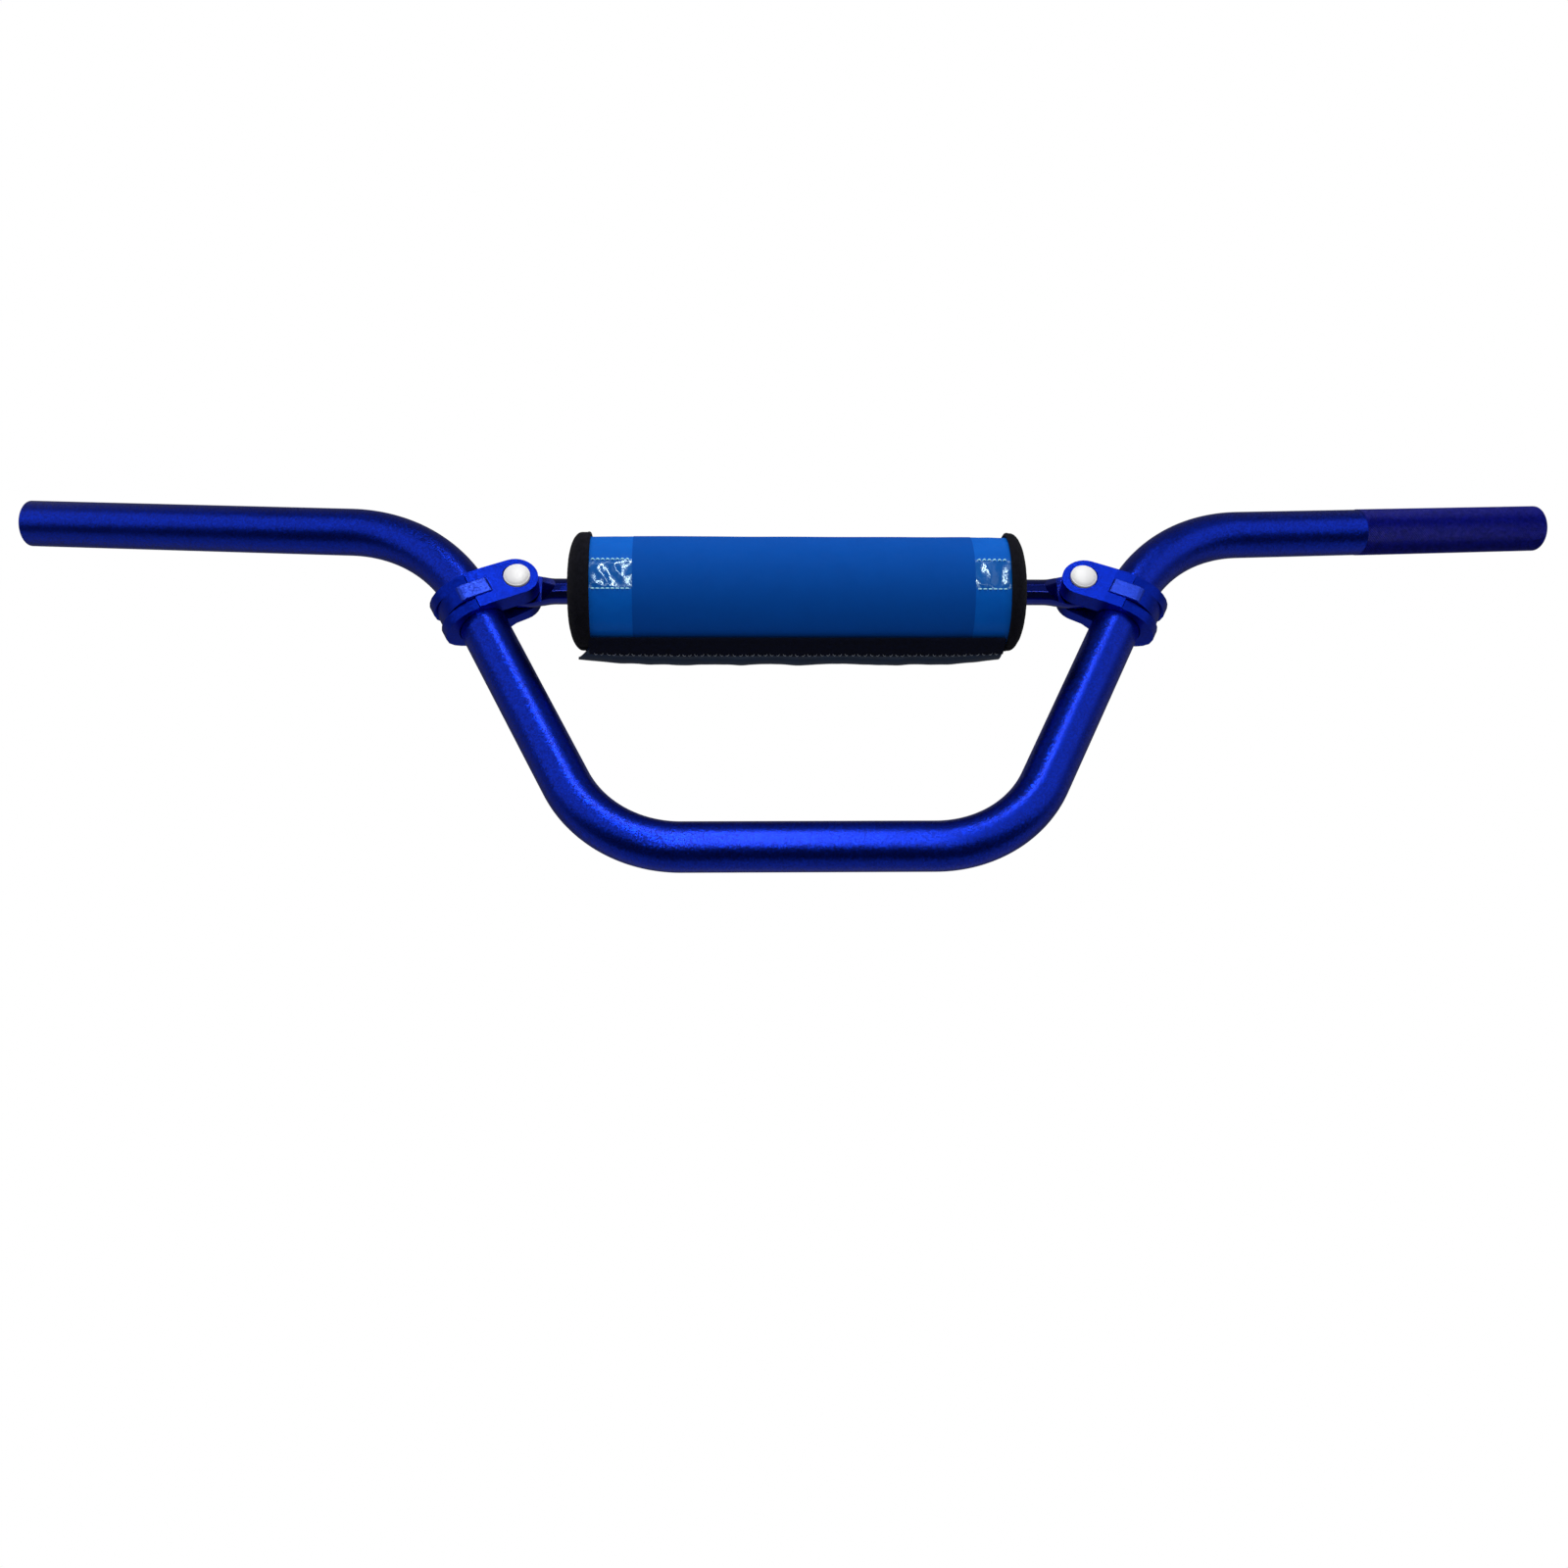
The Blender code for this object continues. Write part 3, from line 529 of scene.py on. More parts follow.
def tube_profile():
    """(point, direction, outer radius, whether it is knurled) for each ring, from the plain end."""
    plain = [(Vector((-p.x, p.y, p.z)), Vector((d.x, -d.y, -d.z)), TUBE_RADIUS, False)
             for p, d in reversed(half_line)]
    plain += [(p, d, TUBE_RADIUS, False) for p, d in half_line]
    left_tip = Vector((-grip_tip.x, grip_tip.y, grip_tip.z))
    left_way = plain[0][1]
    rows = int((KNURL_LENGTH - END_ROUND) / KNURL_PITCH)
    first = grip_tip - grip_way * (END_ROUND + rows * KNURL_PITCH)
    before = [(first - grip_way * KNURL_PITCH, grip_way, TUBE_RADIUS, False)]
    rough = [(first + grip_way * KNURL_PITCH * i, grip_way, TUBE_RADIUS, True) for i in range(rows + 1)]
    start = rounded_lip(left_tip, left_way, left_way)[::-1]
    return start + plain + before + rough + rounded_lip(grip_tip, grip_way, -grip_way)


profile = tube_profile()
print("rings along the tube:", len(profile))

# %% [markdown]
# The knurl is rolled in: two sets of helical grooves cross and leave a field of small pyramids, which grip
# the glue under a rubber grip. Each pyramid has one raised point among four low ones, so raising every second
# point of a fine net makes the whole field. Each little square of the net is cut from low point to low point,
# where the groove runs.

# %% The tube
KNURL_HEIGHT = 0.25 * MM
KNURL_ROOT = -0.12 * MM
TUBE_AROUND = 112


def tube_rings():
    """The outer and the inner rings. The side vector is carried along, so that the net doesn't twist."""
    side = Vector((0, 1, 0))
    outer, inner = [], []
    for row, (point, way, radius, rough) in enumerate(profile):
        side = (side - way * side.dot(way)).normalized()
        up = way.cross(side)
        spokes = [side * math.cos(angle) + up * math.sin(angle) for angle in turn_angles(TUBE_AROUND)]
        lift = (KNURL_HEIGHT, KNURL_ROOT) if rough else (0, 0)
        outer.append([point + spoke * (radius + lift[(row + j) % 2]) for j, spoke in enumerate(spokes)])
        inner.append([point + spoke * (TUBE_RADIUS - TUBE_WALL) for spoke in spokes])
    return outer, inner


def make_tube():
    rough = [knurled for *_, knurled in profile]
    outer, inner = tube_rings()
    points, faces = link_rings(outer + inner[::-1], along=True)
    cut, finish_numbers = [], []
    for number, (a, b, c, d) in enumerate(faces):
        row, column = divmod(number, TUBE_AROUND)
        if row < len(profile) - 1 and rough[row] and rough[row + 1]:
            cut += [(a, b, d), (b, c, d)] if (row + column) % 2 == 0 else [(a, b, c), (a, c, d)]
            finish_numbers += [1, 1]
        else:
            cut.append((a, b, c, d))
            finish_numbers.append(0)
    add_piece("bar_tube", points, cut, [tube_finish, knurl_finish], ["handlebar_tube"],
              finish_of=finish_numbers)


make_tube()

# %% [markdown]
# The crossbar is a thin rod. Its ends are pressed flat between dies, so that the clamps can hold them, and
# the metal that is squeezed out spreads above and below. How far it spreads, and how thin it gets, depends
# only on the place along the rod, so one function gives both.

# %% The crossbar's section
ROD_RADIUS = 6 * MM
PRESSED_LENGTH = 17.1 * MM
FLARE_LENGTH = 12 * MM
PRESSED_SLOPE = 6.5 * MM
FLAT_HALF = 2 * MM
FLAT_WIDTH = 16.5 * MM

rod_low, rod_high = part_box("crossbar")
rod_height = (rod_low.z + rod_high.z) / 2
bolt_x = rod_high.x - FLAT_WIDTH / 2
rod_round_half = bolt_x - PRESSED_LENGTH


def pressed_share(x, length):
    """How far x is along a stretch that starts where the rod stops being round, from 0 to 1."""
    return min(max((x - rod_round_half) / length, 0), 1)


def rod_section(x):
    """(half height, half depth) of the rod at a distance from its middle."""
    share = pressed_share(x, FLARE_LENGTH)
    tall = ROD_RADIUS + (FLAT_WIDTH / 2 - ROD_RADIUS) * share * share * (3 - 2 * share)
    if x > bolt_x:
        tall = math.sqrt(max((FLAT_WIDTH / 2) ** 2 - (x - bolt_x) ** 2, 0))
    return tall, ROD_RADIUS + (FLAT_HALF - ROD_RADIUS) * pressed_share(x, PRESSED_SLOPE)


print("half height and depth at a bolt, in mm:", [round(value / MM, 2) for value in rod_section(bolt_x)])

# %% [markdown]
# A flattened section is a wider ring whose front and rear are cut off by two flats. Points at even angles
# would miss the edges of the flats, and the creases would run in steps. So each ring keeps a point on every
# edge of the flats, and the creases run clean.

# %% The crossbar
FLARE_STEPS = 24
TIP_ANGLES = range(0, 88, 6)
ROD_AROUND = 64
FLAT_COLUMNS = 8
ROUND_LIMIT = 0.9998
CREASE_SHARP = 24


def rod_ring(x):
    """Points round the rod: FLAT_COLUMNS steps over each flat and the rest over the two round sides."""
    tall, deep = rod_section(abs(x))
    edge = math.acos(min(deep / ROD_RADIUS, ROUND_LIMIT))
    side_columns = ROD_AROUND // 2 - FLAT_COLUMNS
    ring = []
    for j in range(ROD_AROUND):
        half_turn, k = divmod(j, ROD_AROUND // 2)
        if k < FLAT_COLUMNS:
            angle = -edge + 2 * edge * k / FLAT_COLUMNS
        else:
            angle = edge + (math.pi - 2 * edge) * (k - FLAT_COLUMNS) / side_columns
        angle += math.pi * half_turn
        y = max(-deep, min(deep, ROD_RADIUS * math.cos(angle)))
        ring.append(Vector((x, y, rod_height + tall * math.sin(angle))))
    return ring


def make_crossbar():
    half = [rod_round_half + FLARE_LENGTH * i / FLARE_STEPS for i in range(FLARE_STEPS + 1)]
    half += [bolt_x + FLAT_WIDTH / 2 * math.sin(math.radians(angle)) for angle in TIP_ANGLES]
    points, faces = closed_rings([rod_ring(x) for x in [-x for x in reversed(half)] + half])
    return add_piece("cross_rod", points, faces, [rod_finish], ["crossbar"],
                     sharp=CREASE_SHARP)


crossbar = make_crossbar()

# %% [markdown]
# Each flat end is drilled for its clamp bolt, after pressing, and a boolean cut with a round bit does the
# same. Only then are the edges rounded, so that the rims of the holes are rounded as well.

# %% The bolt holes
HOLE_RADIUS = 3.4 * MM
DRILL_REACH = 20 * MM
DRILL_AROUND = 48
CROSSBAR_ROUNDING = 0.5 * MM
CREASE_ANGLE = 16


def drill(piece, places, radius):
    """Cuts round holes along Y through a piece."""
    rings = [[Vector((radius * math.cos(a), y, radius * math.sin(a))) for a in turn_angles(DRILL_AROUND)]
             for y in (-DRILL_REACH, DRILL_REACH)]
    points, faces = closed_rings(rings)
    for x, z in places:
        mesh = bpy.data.meshes.new("drill")
        mesh.from_pydata([point + Vector((x, 0, z)) for point in points], [], faces)
        bit = bpy.data.objects.new("drill", mesh)
        bpy.context.collection.objects.link(bit)
        cut = piece.modifiers.new("hole", "BOOLEAN")
        cut.operation = "DIFFERENCE"
        cut.solver = "EXACT"
        cut.object = bit
        shaped = piece.evaluated_get(bpy.context.evaluated_depsgraph_get())
        piece.data = bpy.data.meshes.new_from_object(shaped)
        piece.modifiers.remove(cut)
        bpy.data.objects.remove(bit)
    piece.data.set_sharp_from_angle(angle=math.radians(CREASE_SHARP))
    print("%s: %d holes, %d faces" % (piece.name, len(places), len(piece.data.polygons)))


drill(crossbar, [(bolt_x, rod_height), (-bolt_x, rod_height)], HOLE_RADIUS)
round_edges(crossbar, CROSSBAR_ROUNDING, CREASE_ANGLE)

# %% [markdown]
# The clamps are small castings in two halves. The front half reaches round the tube with one finger and the
# rear half with two, like clasped hands, so the joint can't slide along the tube. Their exact form is already
# in the frame, and so is that of the washers and nuts. A copy of it gets its edges rounded, because a real
# edge is never a knife.

# %% Clamps, washers and nuts
CLAMP_EDGES = {"front": 0.75 * MM, "rear": 0.5 * MM}
SMALL_EDGE = 0.15 * MM
WELD_DISTANCE = 0.001 * MM
FLAT_ENOUGH = math.radians(1)
ZINC_WHITE = (0.99, 0.99, 0.995)


def bump(made, height, depth):
    """Links a height to the shader's normal. depth is in metres."""
    feed(made, "Normal", add_node(made, "Bump", Height=height, Distance=depth, Strength=1.0).outputs[0])


def softened(node_name, name, finish_used, edge):
    """A copy of a frame solid with its edges rounded."""
    bm = bmesh.new()
    bm.from_mesh(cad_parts[node_name].data)
    bmesh.ops.remove_doubles(bm, verts=bm.verts, dist=WELD_DISTANCE)
    bmesh.ops.dissolve_limit(bm, angle_limit=FLAT_ENOUGH, verts=bm.verts, edges=bm.edges)
    mesh = bpy.data.meshes.new(name)
    bm.to_mesh(mesh)
    bm.free()
    mesh.materials.append(finish_used)
    round_edges(put_on_bar(name, mesh, [node_name]), edge)


def zinc():
    made = finish("bright_zinc", ZINC_WHITE, 0.55, metallic=0.25)
    feed(made, "Roughness", between(made, grain(made, 1.5 * MM), 0.5, 0.6))
    bump(made, grain(made, 0.6 * MM), 0.004 * MM)
    return made


zinc_finish = zinc()
for side_name in SIDES:
    for half_name, edge in CLAMP_EDGES.items():
        softened("clamp_%s_%s" % (half_name, side_name), "%s_clamp_%s" % (half_name, side_name), clamp_finish,
                 edge)
    for small in ("washer", "nut"):
        softened("clamp_%s_%s" % (small, side_name), "%s_%s" % (small, side_name), zinc_finish,
                 SMALL_EDGE)

# %% [markdown]
# The crown of the front finger is machined flat, and the flat is the brightest place on the clamp. Its finish
# is a paler copy of the clamp's blue, so that brightness is partly a painted highlight. It is a small block
# here, let into the finger. Its section is drawn across the tube in millimetres: inward is towards the bolt,
# and depth is towards the camera.

# %% Flats on the fingers
CLAMP_BELOW_BEND = 5.2 * MM
FLAT_SECTION = [(8.6, 13.0), (9.2, 14.3), (8.3, 15.15), (-3.6, 16.1), (-5.4, 15.5), (-6.6, 14.0),
                (-6.0, 13.2), (0.0, 14.5), (5.0, 13.6)]
FLAT_REACH = 4.0 * MM
FLAT_EDGE = 0.35 * MM


def make_flat(side_name):
    centre = leg_start + leg_way * (LEG_LENGTH - CLAMP_BELOW_BEND)
    inward_way = Vector((-leg_way.z, 0, leg_way.x))
    rings = []
    for along in (-FLAT_REACH, FLAT_REACH):
        ring = []
        for inward, depth in FLAT_SECTION:
            point = centre + inward_way * inward * MM + leg_way * along
            ring.append(Vector((point.x * SIDES[side_name], -depth * MM, point.z)))
        rings.append(ring)
    points, faces = closed_rings(rings)
    made = add_piece("finger_flat_" + side_name, points, faces, [highlit_flat_finish])
    round_edges(made, FLAT_EDGE)


for side_name in SIDES:
    make_flat(side_name)

# %% [markdown]
# The clamp bolts have a low round head over a square neck, like a coach bolt, and an M6 thread behind. A cone
# or a cylinder can't turn from round to square along its length. So each ring of a bolt has an outline, which
# is a function that gives a radius for an angle. The head's crown is a flattened ball with a rounded rim.

# %% Outlines of a bolt's head
HEAD_RADIUS = 6.1 * MM
HEAD_RIM = 1.6 * MM
HEAD_HEIGHT = 3.2 * MM
CROWN_CURVE = 0.93
CROWN_STEPS = 12
RIM_ROUND = 0.5 * MM
RIM_STEPS = 5


def circle(radius):
    return lambda angle: radius


def head_rows(top):
    """(y, outline) from the crown of the head to the foot of its rounded rim."""
    crown = HEAD_HEIGHT - HEAD_RIM
    full_fall = 1 - math.sqrt(1 - CROWN_CURVE ** 2)
    rows = []
    for i in range(1, CROWN_STEPS + 1):
        share = math.sin(math.pi / 2 * i / CROWN_STEPS)
        fall = crown * (1 - math.sqrt(1 - (CROWN_CURVE * share) ** 2)) / full_fall
        rows.append((top + fall, circle((HEAD_RADIUS - RIM_ROUND) * share)))
    for i in range(1, RIM_STEPS + 1):
        turn = math.pi / 2 * i / RIM_STEPS
        rows.append((top + crown + RIM_ROUND * (1 - math.cos(turn)),
                     circle(HEAD_RADIUS - RIM_ROUND * (1 - math.sin(turn)))))
    return rows


print("rings of a head:", len(head_rows(0)))

# %% [markdown]
# The thread is a ridge that climbs one pitch for each turn, so its height depends on both the place along the
# bolt and the angle round it. An outline can follow that too. The square neck is one more outline.

# %% Outlines of the neck and the thread
SHANK_RADIUS = 3 * MM
NECK_HALF = 3.3 * MM
NECK_LENGTH = 3.2 * MM
THREAD_PITCH = 1.0 * MM
THREAD_DEPTH = 0.45 * MM
THREAD_LENGTH = 9 * MM
THREAD_STEPS = 8
TIP_CHAMFER = 0.3 * MM
TIP_CHAMFER_LENGTH = 0.8 * MM


def square(half_side):
    return lambda angle: half_side / max(abs(math.cos(angle)), abs(math.sin(angle)))


def thread_ridge(y, tip):
    """The outline of the thread at y. It fades in from the shank and out at the chamfered tip."""
    fade = min((tip - y) / THREAD_PITCH, (y - tip + THREAD_LENGTH) / THREAD_PITCH, 1)
    chamfer = TIP_CHAMFER * (1 - min((tip - y) / TIP_CHAMFER_LENGTH, 1))

    def outline(angle):
        phase = (y / THREAD_PITCH - angle / (2 * math.pi)) % 1
        return SHANK_RADIUS - THREAD_DEPTH * fade * (1 - abs(2 * phase - 1)) - chamfer
    return outline


def bolt_rows(top, tip):
    """(y, outline) from the crown of the head to the tip."""
    seat = top + HEAD_HEIGHT
    rows = head_rows(top) + [(seat, circle(HEAD_RADIUS)), (seat, square(NECK_HALF))]
    rows += [(seat + NECK_LENGTH, square(NECK_HALF)), (seat + NECK_LENGTH, circle(SHANK_RADIUS))]
    y = tip - THREAD_LENGTH
    while y < tip:
        rows.append((y, thread_ridge(y, tip)))
        y += THREAD_PITCH / THREAD_STEPS
    return rows


print("radius of the neck at 0 and 45 degrees, in mm:",
      [round(square(NECK_HALF)(math.radians(angle)) / MM, 2) for angle in (0, 45)])

# %% [markdown]
# A bolt is a ring of points for each outline, with one flat face at the crown and one at the tip. The frame
# says where the bolt stands and how long it is.

# %% Bolts
BOLT_AROUND = 48


def make_bolt(side_name):
    low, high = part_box("clamp_bolt_" + side_name)
    x, z = (low.x + high.x) / 2, (low.z + high.z) / 2
    rings = []
    for y, radius in bolt_rows(low.y, high.y):
        rings.append([Vector((x + radius(a) * math.cos(a), y, z + radius(a) * math.sin(a)))
                      for a in turn_angles(BOLT_AROUND)])
    points, faces = closed_rings(rings)
    add_piece("bolt_" + side_name, points, faces, [zinc_finish], ["clamp_bolt_" + side_name],
              sharp=40)


for side_name in SIDES:
    make_bolt(side_name)

# %% [markdown]
# The pad is a roll of grey foam in a vinyl cover, with a black cloth cap over each end. Its axis is the
# crossbar's. A point on it is given by x along the bar and an angle round it: 0 is the front, -90 is below.
# The cover is slit below, so that it can be slipped over the crossbar.

# %% Places round the pad
SLIT_ANGLE = -108.0
COVER_THICKNESS = 2.1 * MM
GAP = 0.3 * MM

cap_boxes = {name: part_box("pad_end_cap_" + name) for name in SIDES}
pad_left = cap_boxes["left"][1].x
pad_right = cap_boxes["right"][0].x
cap_radius = (cap_boxes["left"][1].z - cap_boxes["left"][0].z) / 2
pad_height = (cap_boxes["left"][1].z + cap_boxes["left"][0].z) / 2
cover_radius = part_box("pad_cover")[1].y
cover_ends = (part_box("pad_cover")[0].x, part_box("pad_cover")[1].x)
bore_radius = ROD_RADIUS + GAP
print("pad from %.1f to %.1f mm, radius %.1f mm" % (pad_right / MM, pad_left / MM, cover_radius / MM))

# %% [markdown]
# A sheet that is wrapped round the pad has an outer and an inner skin. Each skin is a radius that may change
# from place to place, and noise on that radius is what makes a sheet look soft. Cloth simulation could do the
# same, but this pad is tight on its foam and hardly creases.

# %% Sheet helpers


def pad_point(x, radius, degrees):
    angle = math.radians(degrees)
    return Vector((x, -radius * math.cos(angle), pad_height + radius * math.sin(angle)))


def wavy(x, degrees, size, seed=0.0):
    """Smooth noise from about -1 to 1 over the pad's surface, with features of the given size."""
    turn = math.radians(degrees)
    return noise.noise(Vector((x / size + seed, cover_radius * math.cos(turn) / size,
                               cover_radius * math.sin(turn) / size)))


def wrapped_sheet(xs, outside, inside, start, end, steps):
    """Rings for a sheet round the pad: outside(x, angle) and inside(x, angle) give its radii."""
    angles = [start + (end - start) * j / steps for j in range(steps + 1)]
    rings = []
    for x in xs:
        outer = [pad_point(x, outside(x, a), a) for a in angles]
        rings.append(outer + [pad_point(x, inside(x, a), a) for a in reversed(angles)])
    return rings


def closed_sheet(rings):
    """Points and faces of a wrapped sheet with its two end edges, each a row of four-sided faces."""
    points, faces = link_rings(rings)
    count = len(rings[0])
    for base in (0, len(points) - count):
        for j in range(count // 2 - 1):
            faces.append((base + j, base + j + 1, base + count - 2 - j, base + count - 1 - j))
    return points, faces


print("a point on top of the cover, in mm:", [round(c / MM, 1) for c in pad_point(0, cover_radius, 90)])

# %% [markdown]
# Cloth and vinyl get their look from small things: a weave of about a millimetre, a soft sheen on the hook
# tape, a wet gloss on vinyl with slow patches in it. Each is a few texture nodes that feed bump, colour and
# roughness.

# %% Soft finishes
WEAVE_SCALE = 3 / (2 * math.pi)


def gloss_vinyl(name, colour, shade, roughness, coat, level=0.04, tint=(1, 1, 1)):
    """coat is the gloss of the clear skin, and level that of the sheet itself, which tint colours."""
    made = finish(name, colour, roughness, Coat_Weight=coat, Coat_Roughness=0.07, Coat_IOR=CLEAR_SKIN_IOR,
                  Specular_IOR_Level=level, Specular_Tint=(*tint, 1))
    patches = between(made, grain(made, 9 * MM, detail=3), 0, 1)
    feed(made, "Base Color", two_colours(made, patches, colour, shade))
    feed(made, "Roughness", between(made, grain(made, 3 * MM), roughness, roughness + 0.12))
    bump(made, cell_pattern(made, 0.9 * MM).outputs[0], 0.02 * MM)
    return made


def woven(name, colour, shade, thread_width, sheen):
    """Plain weave: two sets of threads as crossed waves."""
    made = finish(name, colour, 0.85, Sheen_Weight=sheen, Sheen_Roughness=0.4, Specular_IOR_Level=0.15)
    patches = between(made, grain(made, 2.5 * MM, detail=4), 0, 1)
    feed(made, "Base Color", two_colours(made, patches, colour, shade))
    where = place_on(made)
    cross = add_node(made, "Math")
    cross.operation = "MULTIPLY"
    for number, thread_way in enumerate(("X", "Z")):
        wave = add_node(made, "TexWave", Vector=where, Scale=WEAVE_SCALE / thread_width, Distortion=1.2,
                        Detail=1.0, Detail_Scale=2.0)
        wave.bands_direction = thread_way
        made.node_tree.links.new(wave.outputs["Fac"], cross.inputs[number])
    bump(made, cross.outputs[0], 0.15 * MM)
    return made


def sewing_thread(name, colour, roughness, **sockets):
    made = finish(name, colour, roughness, **sockets)
    bump(made, grain(made, 0.2 * MM), 0.05 * MM)
    return made


end_vinyl = gloss_vinyl("end_vinyl", (0.0005, 0.125, 0.60), (0.0005, 0.112, 0.56), roughness=0.35, coat=0.06)
glare_vinyl = gloss_vinyl("glare_vinyl", (0.0005, 0.12, 0.50), (0.0005, 0.107, 0.47), roughness=0.05,
                          coat=0.0, level=1.0, tint=(0.75, 1, 1))
field_vinyl = gloss_vinyl("field_vinyl", (0.001, 0.078, 0.42), (0.001, 0.074, 0.40), roughness=0.6, coat=0.0)
# The flap's dark navy is painted shade: the cover's blue vinyl darkened to how it looks in the shadow under
# the pad.
flap_vinyl_painted_shade = gloss_vinyl("flap_vinyl_painted_shade", (0.002, 0.014, 0.045), (0.004, 0.022, 0.065), roughness=0.3, coat=0.3)
cap_cloth = woven("cap_cloth", (0.0015, 0.0018, 0.005), (0.006, 0.006, 0.012), 0.7 * MM, sheen=0.02)
tape_cloth = woven("tape_cloth", (0.0002, 0.001, 0.01), (0.0005, 0.0025, 0.02), 1.0 * MM, sheen=0.0)
hook_cloth = woven("hook_cloth", (0.006, 0.006, 0.007), (0.012, 0.012, 0.013), 1.6 * MM, sheen=0.6)
# The pale thread has a faint cyan emission: a painted glow that brightens the stitches, though thread is no
# lamp.
pale_thread_painted_glow = sewing_thread("pale_thread_painted_glow", (0.45, 0.9, 1.0), 0.6, Emission_Color=(0.3, 0.75, 1, 1),
                             Emission_Strength=0.12)
grey_thread = sewing_thread("grey_thread", (0.2, 0.22, 0.26), 0.7)
foam_stuff = finish("foam_stuff", (0.1, 0.1, 0.11), 0.95)
bump(foam_stuff, cell_pattern(foam_stuff, 1.2 * MM).outputs[0], 0.4 * MM)
print("soft finishes:", end_vinyl.name, flap_vinyl_painted_shade.name, cap_cloth.name, foam_stuff.name)

# %% [markdown]
# The cover is one sheet of vinyl. Its middle is a flat field that is darker and duller than the two ends.
# Each end has a glossier strip between two rows of stitches, and its fine wrinkles catch the lamp. The sheet
# is pulled in a little where the caps grip it. It also has slow waves, as a real soft surface has. A cloth
# simulation could give such waves, but a formula gives the same ones on every run and costs no time.

# %% The cover's surface
FIELD_START = -77.5 * MM
FIELD_END = 78.5 * MM
FIELD_HEIGHT = 0.12 * MM
WINDOW_TOP, WINDOW_BOTTOM = 0.5, -31.5
SEAM_HOLD = 5
PULLED_IN, PULL_START, PULL_REACH = 0.15 * MM, 3 * MM, 6 * MM
TOP_BULGE = 0.5 * MM
SLOW_HEIGHT, SLOW_SIZE = 0.16 * MM, 22 * MM
FINE_HEIGHT, FINE_SIZE, FINE_SEED = 0.1 * MM, 5 * MM, 7
# The height of the wrinkles at each end, and the seed of their pattern.
WRINKLES = {"left": (0.2 * MM, 29.3), "right": (0.3 * MM, 11.3)}
WRINKLE_SIZE, WRINKLE_SHARPNESS = 8 * MM, 3
BREAK_SHARE, BREAK_SIZE, BREAK_SEED = 0.3, 3 * MM, 4


def wrinkle(x, degrees):
    """Height of the wrinkles in an end's glossy strip. The seams hold them down."""
    to_seam = min(WINDOW_TOP - degrees, degrees - WINDOW_BOTTOM)
    if to_seam <= 0:
        return 0
    height, seed = WRINKLES["left" if x > 0 else "right"]
    ridge = 1 - WRINKLE_SHARPNESS * abs(wavy(x, degrees, WRINKLE_SIZE, seed))
    ridge += BREAK_SHARE * wavy(x, degrees, BREAK_SIZE, BREAK_SEED)
    return height * ridge * min(to_seam / SEAM_HOLD, 1)


def cover_outside(x, degrees):
    """Radius of the cover's outer skin."""
    upward = max(math.sin(math.radians(degrees)), 0)
    slow = SLOW_HEIGHT * wavy(x, degrees, SLOW_SIZE) + TOP_BULGE * upward
    if FIELD_START <= x <= FIELD_END:
        return cover_radius + slow + FIELD_HEIGHT
    fine = FINE_HEIGHT * wavy(x, degrees, FINE_SIZE, FINE_SEED) + wrinkle(x, degrees)
    to_end = min(x - cover_ends[0] - PULL_START, cover_ends[1] - PULL_START - x)
    pulled = PULLED_IN * math.exp(-max(to_end, 0) / PULL_REACH)
    return cover_radius - pulled + slow + fine


print("cover radius in front and on top, in mm:", [round(cover_outside(0, a) / MM, 2) for a in (0, 90)])

# %% [markdown]
# The sheet is made ring by ring along the bar. The rings stand close together at the two ends, where the
# wrinkles are, and far apart in the plain middle. Three finishes lie on the one sheet, and a face gets its
# own from where its middle is.

# %% Cover
COVER_SLIT = 2
COVER_AROUND = 356
FIELD_RISE = 0.02 * MM
FIELD_STEP = 4 * MM
END_STEP = 0.5 * MM


def cover_finish(middle):
    """The finish number of a face from its middle: 0 for an end, 1 for the field, 2 for a glossy strip."""
    if FIELD_START - FIELD_RISE < middle.x < FIELD_END + FIELD_RISE:
        return 1
    degrees = math.degrees(math.atan2(middle.z - pad_height, -middle.y))
    return 2 if WINDOW_BOTTOM < degrees < WINDOW_TOP else 0


def make_cover():
    xs = spaced(cover_ends[0], FIELD_START - FIELD_RISE, END_STEP)
    xs += spaced(FIELD_START, FIELD_END, FIELD_STEP) + spaced(FIELD_END + FIELD_RISE, cover_ends[1], END_STEP)
    inside = cover_radius - COVER_THICKNESS
    rings = wrapped_sheet(xs, cover_outside, lambda x, a: inside, SLIT_ANGLE + COVER_SLIT,
                          SLIT_ANGLE + 360 - COVER_SLIT, COVER_AROUND)
    points, faces = closed_sheet(rings)
    numbers = [cover_finish(sum((points[i] for i in face), Vector()) / len(face)) for face in faces]
    made = add_piece("pad_cover_sheet", points, faces, [end_vinyl, field_vinyl, glare_vinyl],
                     ["pad_cover"], finish_of=numbers)


make_cover()

# %% [markdown]
# Inside the cover the foam core would show only at the slit and round the crossbar. It is a plain roll with
# rounded ends, and its skin is a little uneven.

# %% Foam
foam_low, foam_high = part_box("pad_foam")
foam_radius = foam_high.y
FOAM_SLIT = 2.6
FOAM_AROUND = 96
FOAM_STEP = 6 * MM
FOAM_ROUND = 5 * MM
FOAM_ROUND_STEPS = 6
FOAM_DROP = 11 * MM
FOAM_DENT, FOAM_DENT_SIZE, FOAM_SEED = 0.15 * MM, 8 * MM, 3


def foam_outside(x, degrees):
    """Radius of the foam's skin, which drops at the rounded ends."""
    inset = max(FOAM_ROUND - min(x - foam_low.x, foam_high.x - x), 0)
    drop = FOAM_DROP * (1 - math.sqrt(max(1 - (inset / FOAM_ROUND) ** 2, 0)))
    return foam_radius - drop - FOAM_DENT * abs(wavy(x, degrees, FOAM_DENT_SIZE, FOAM_SEED))


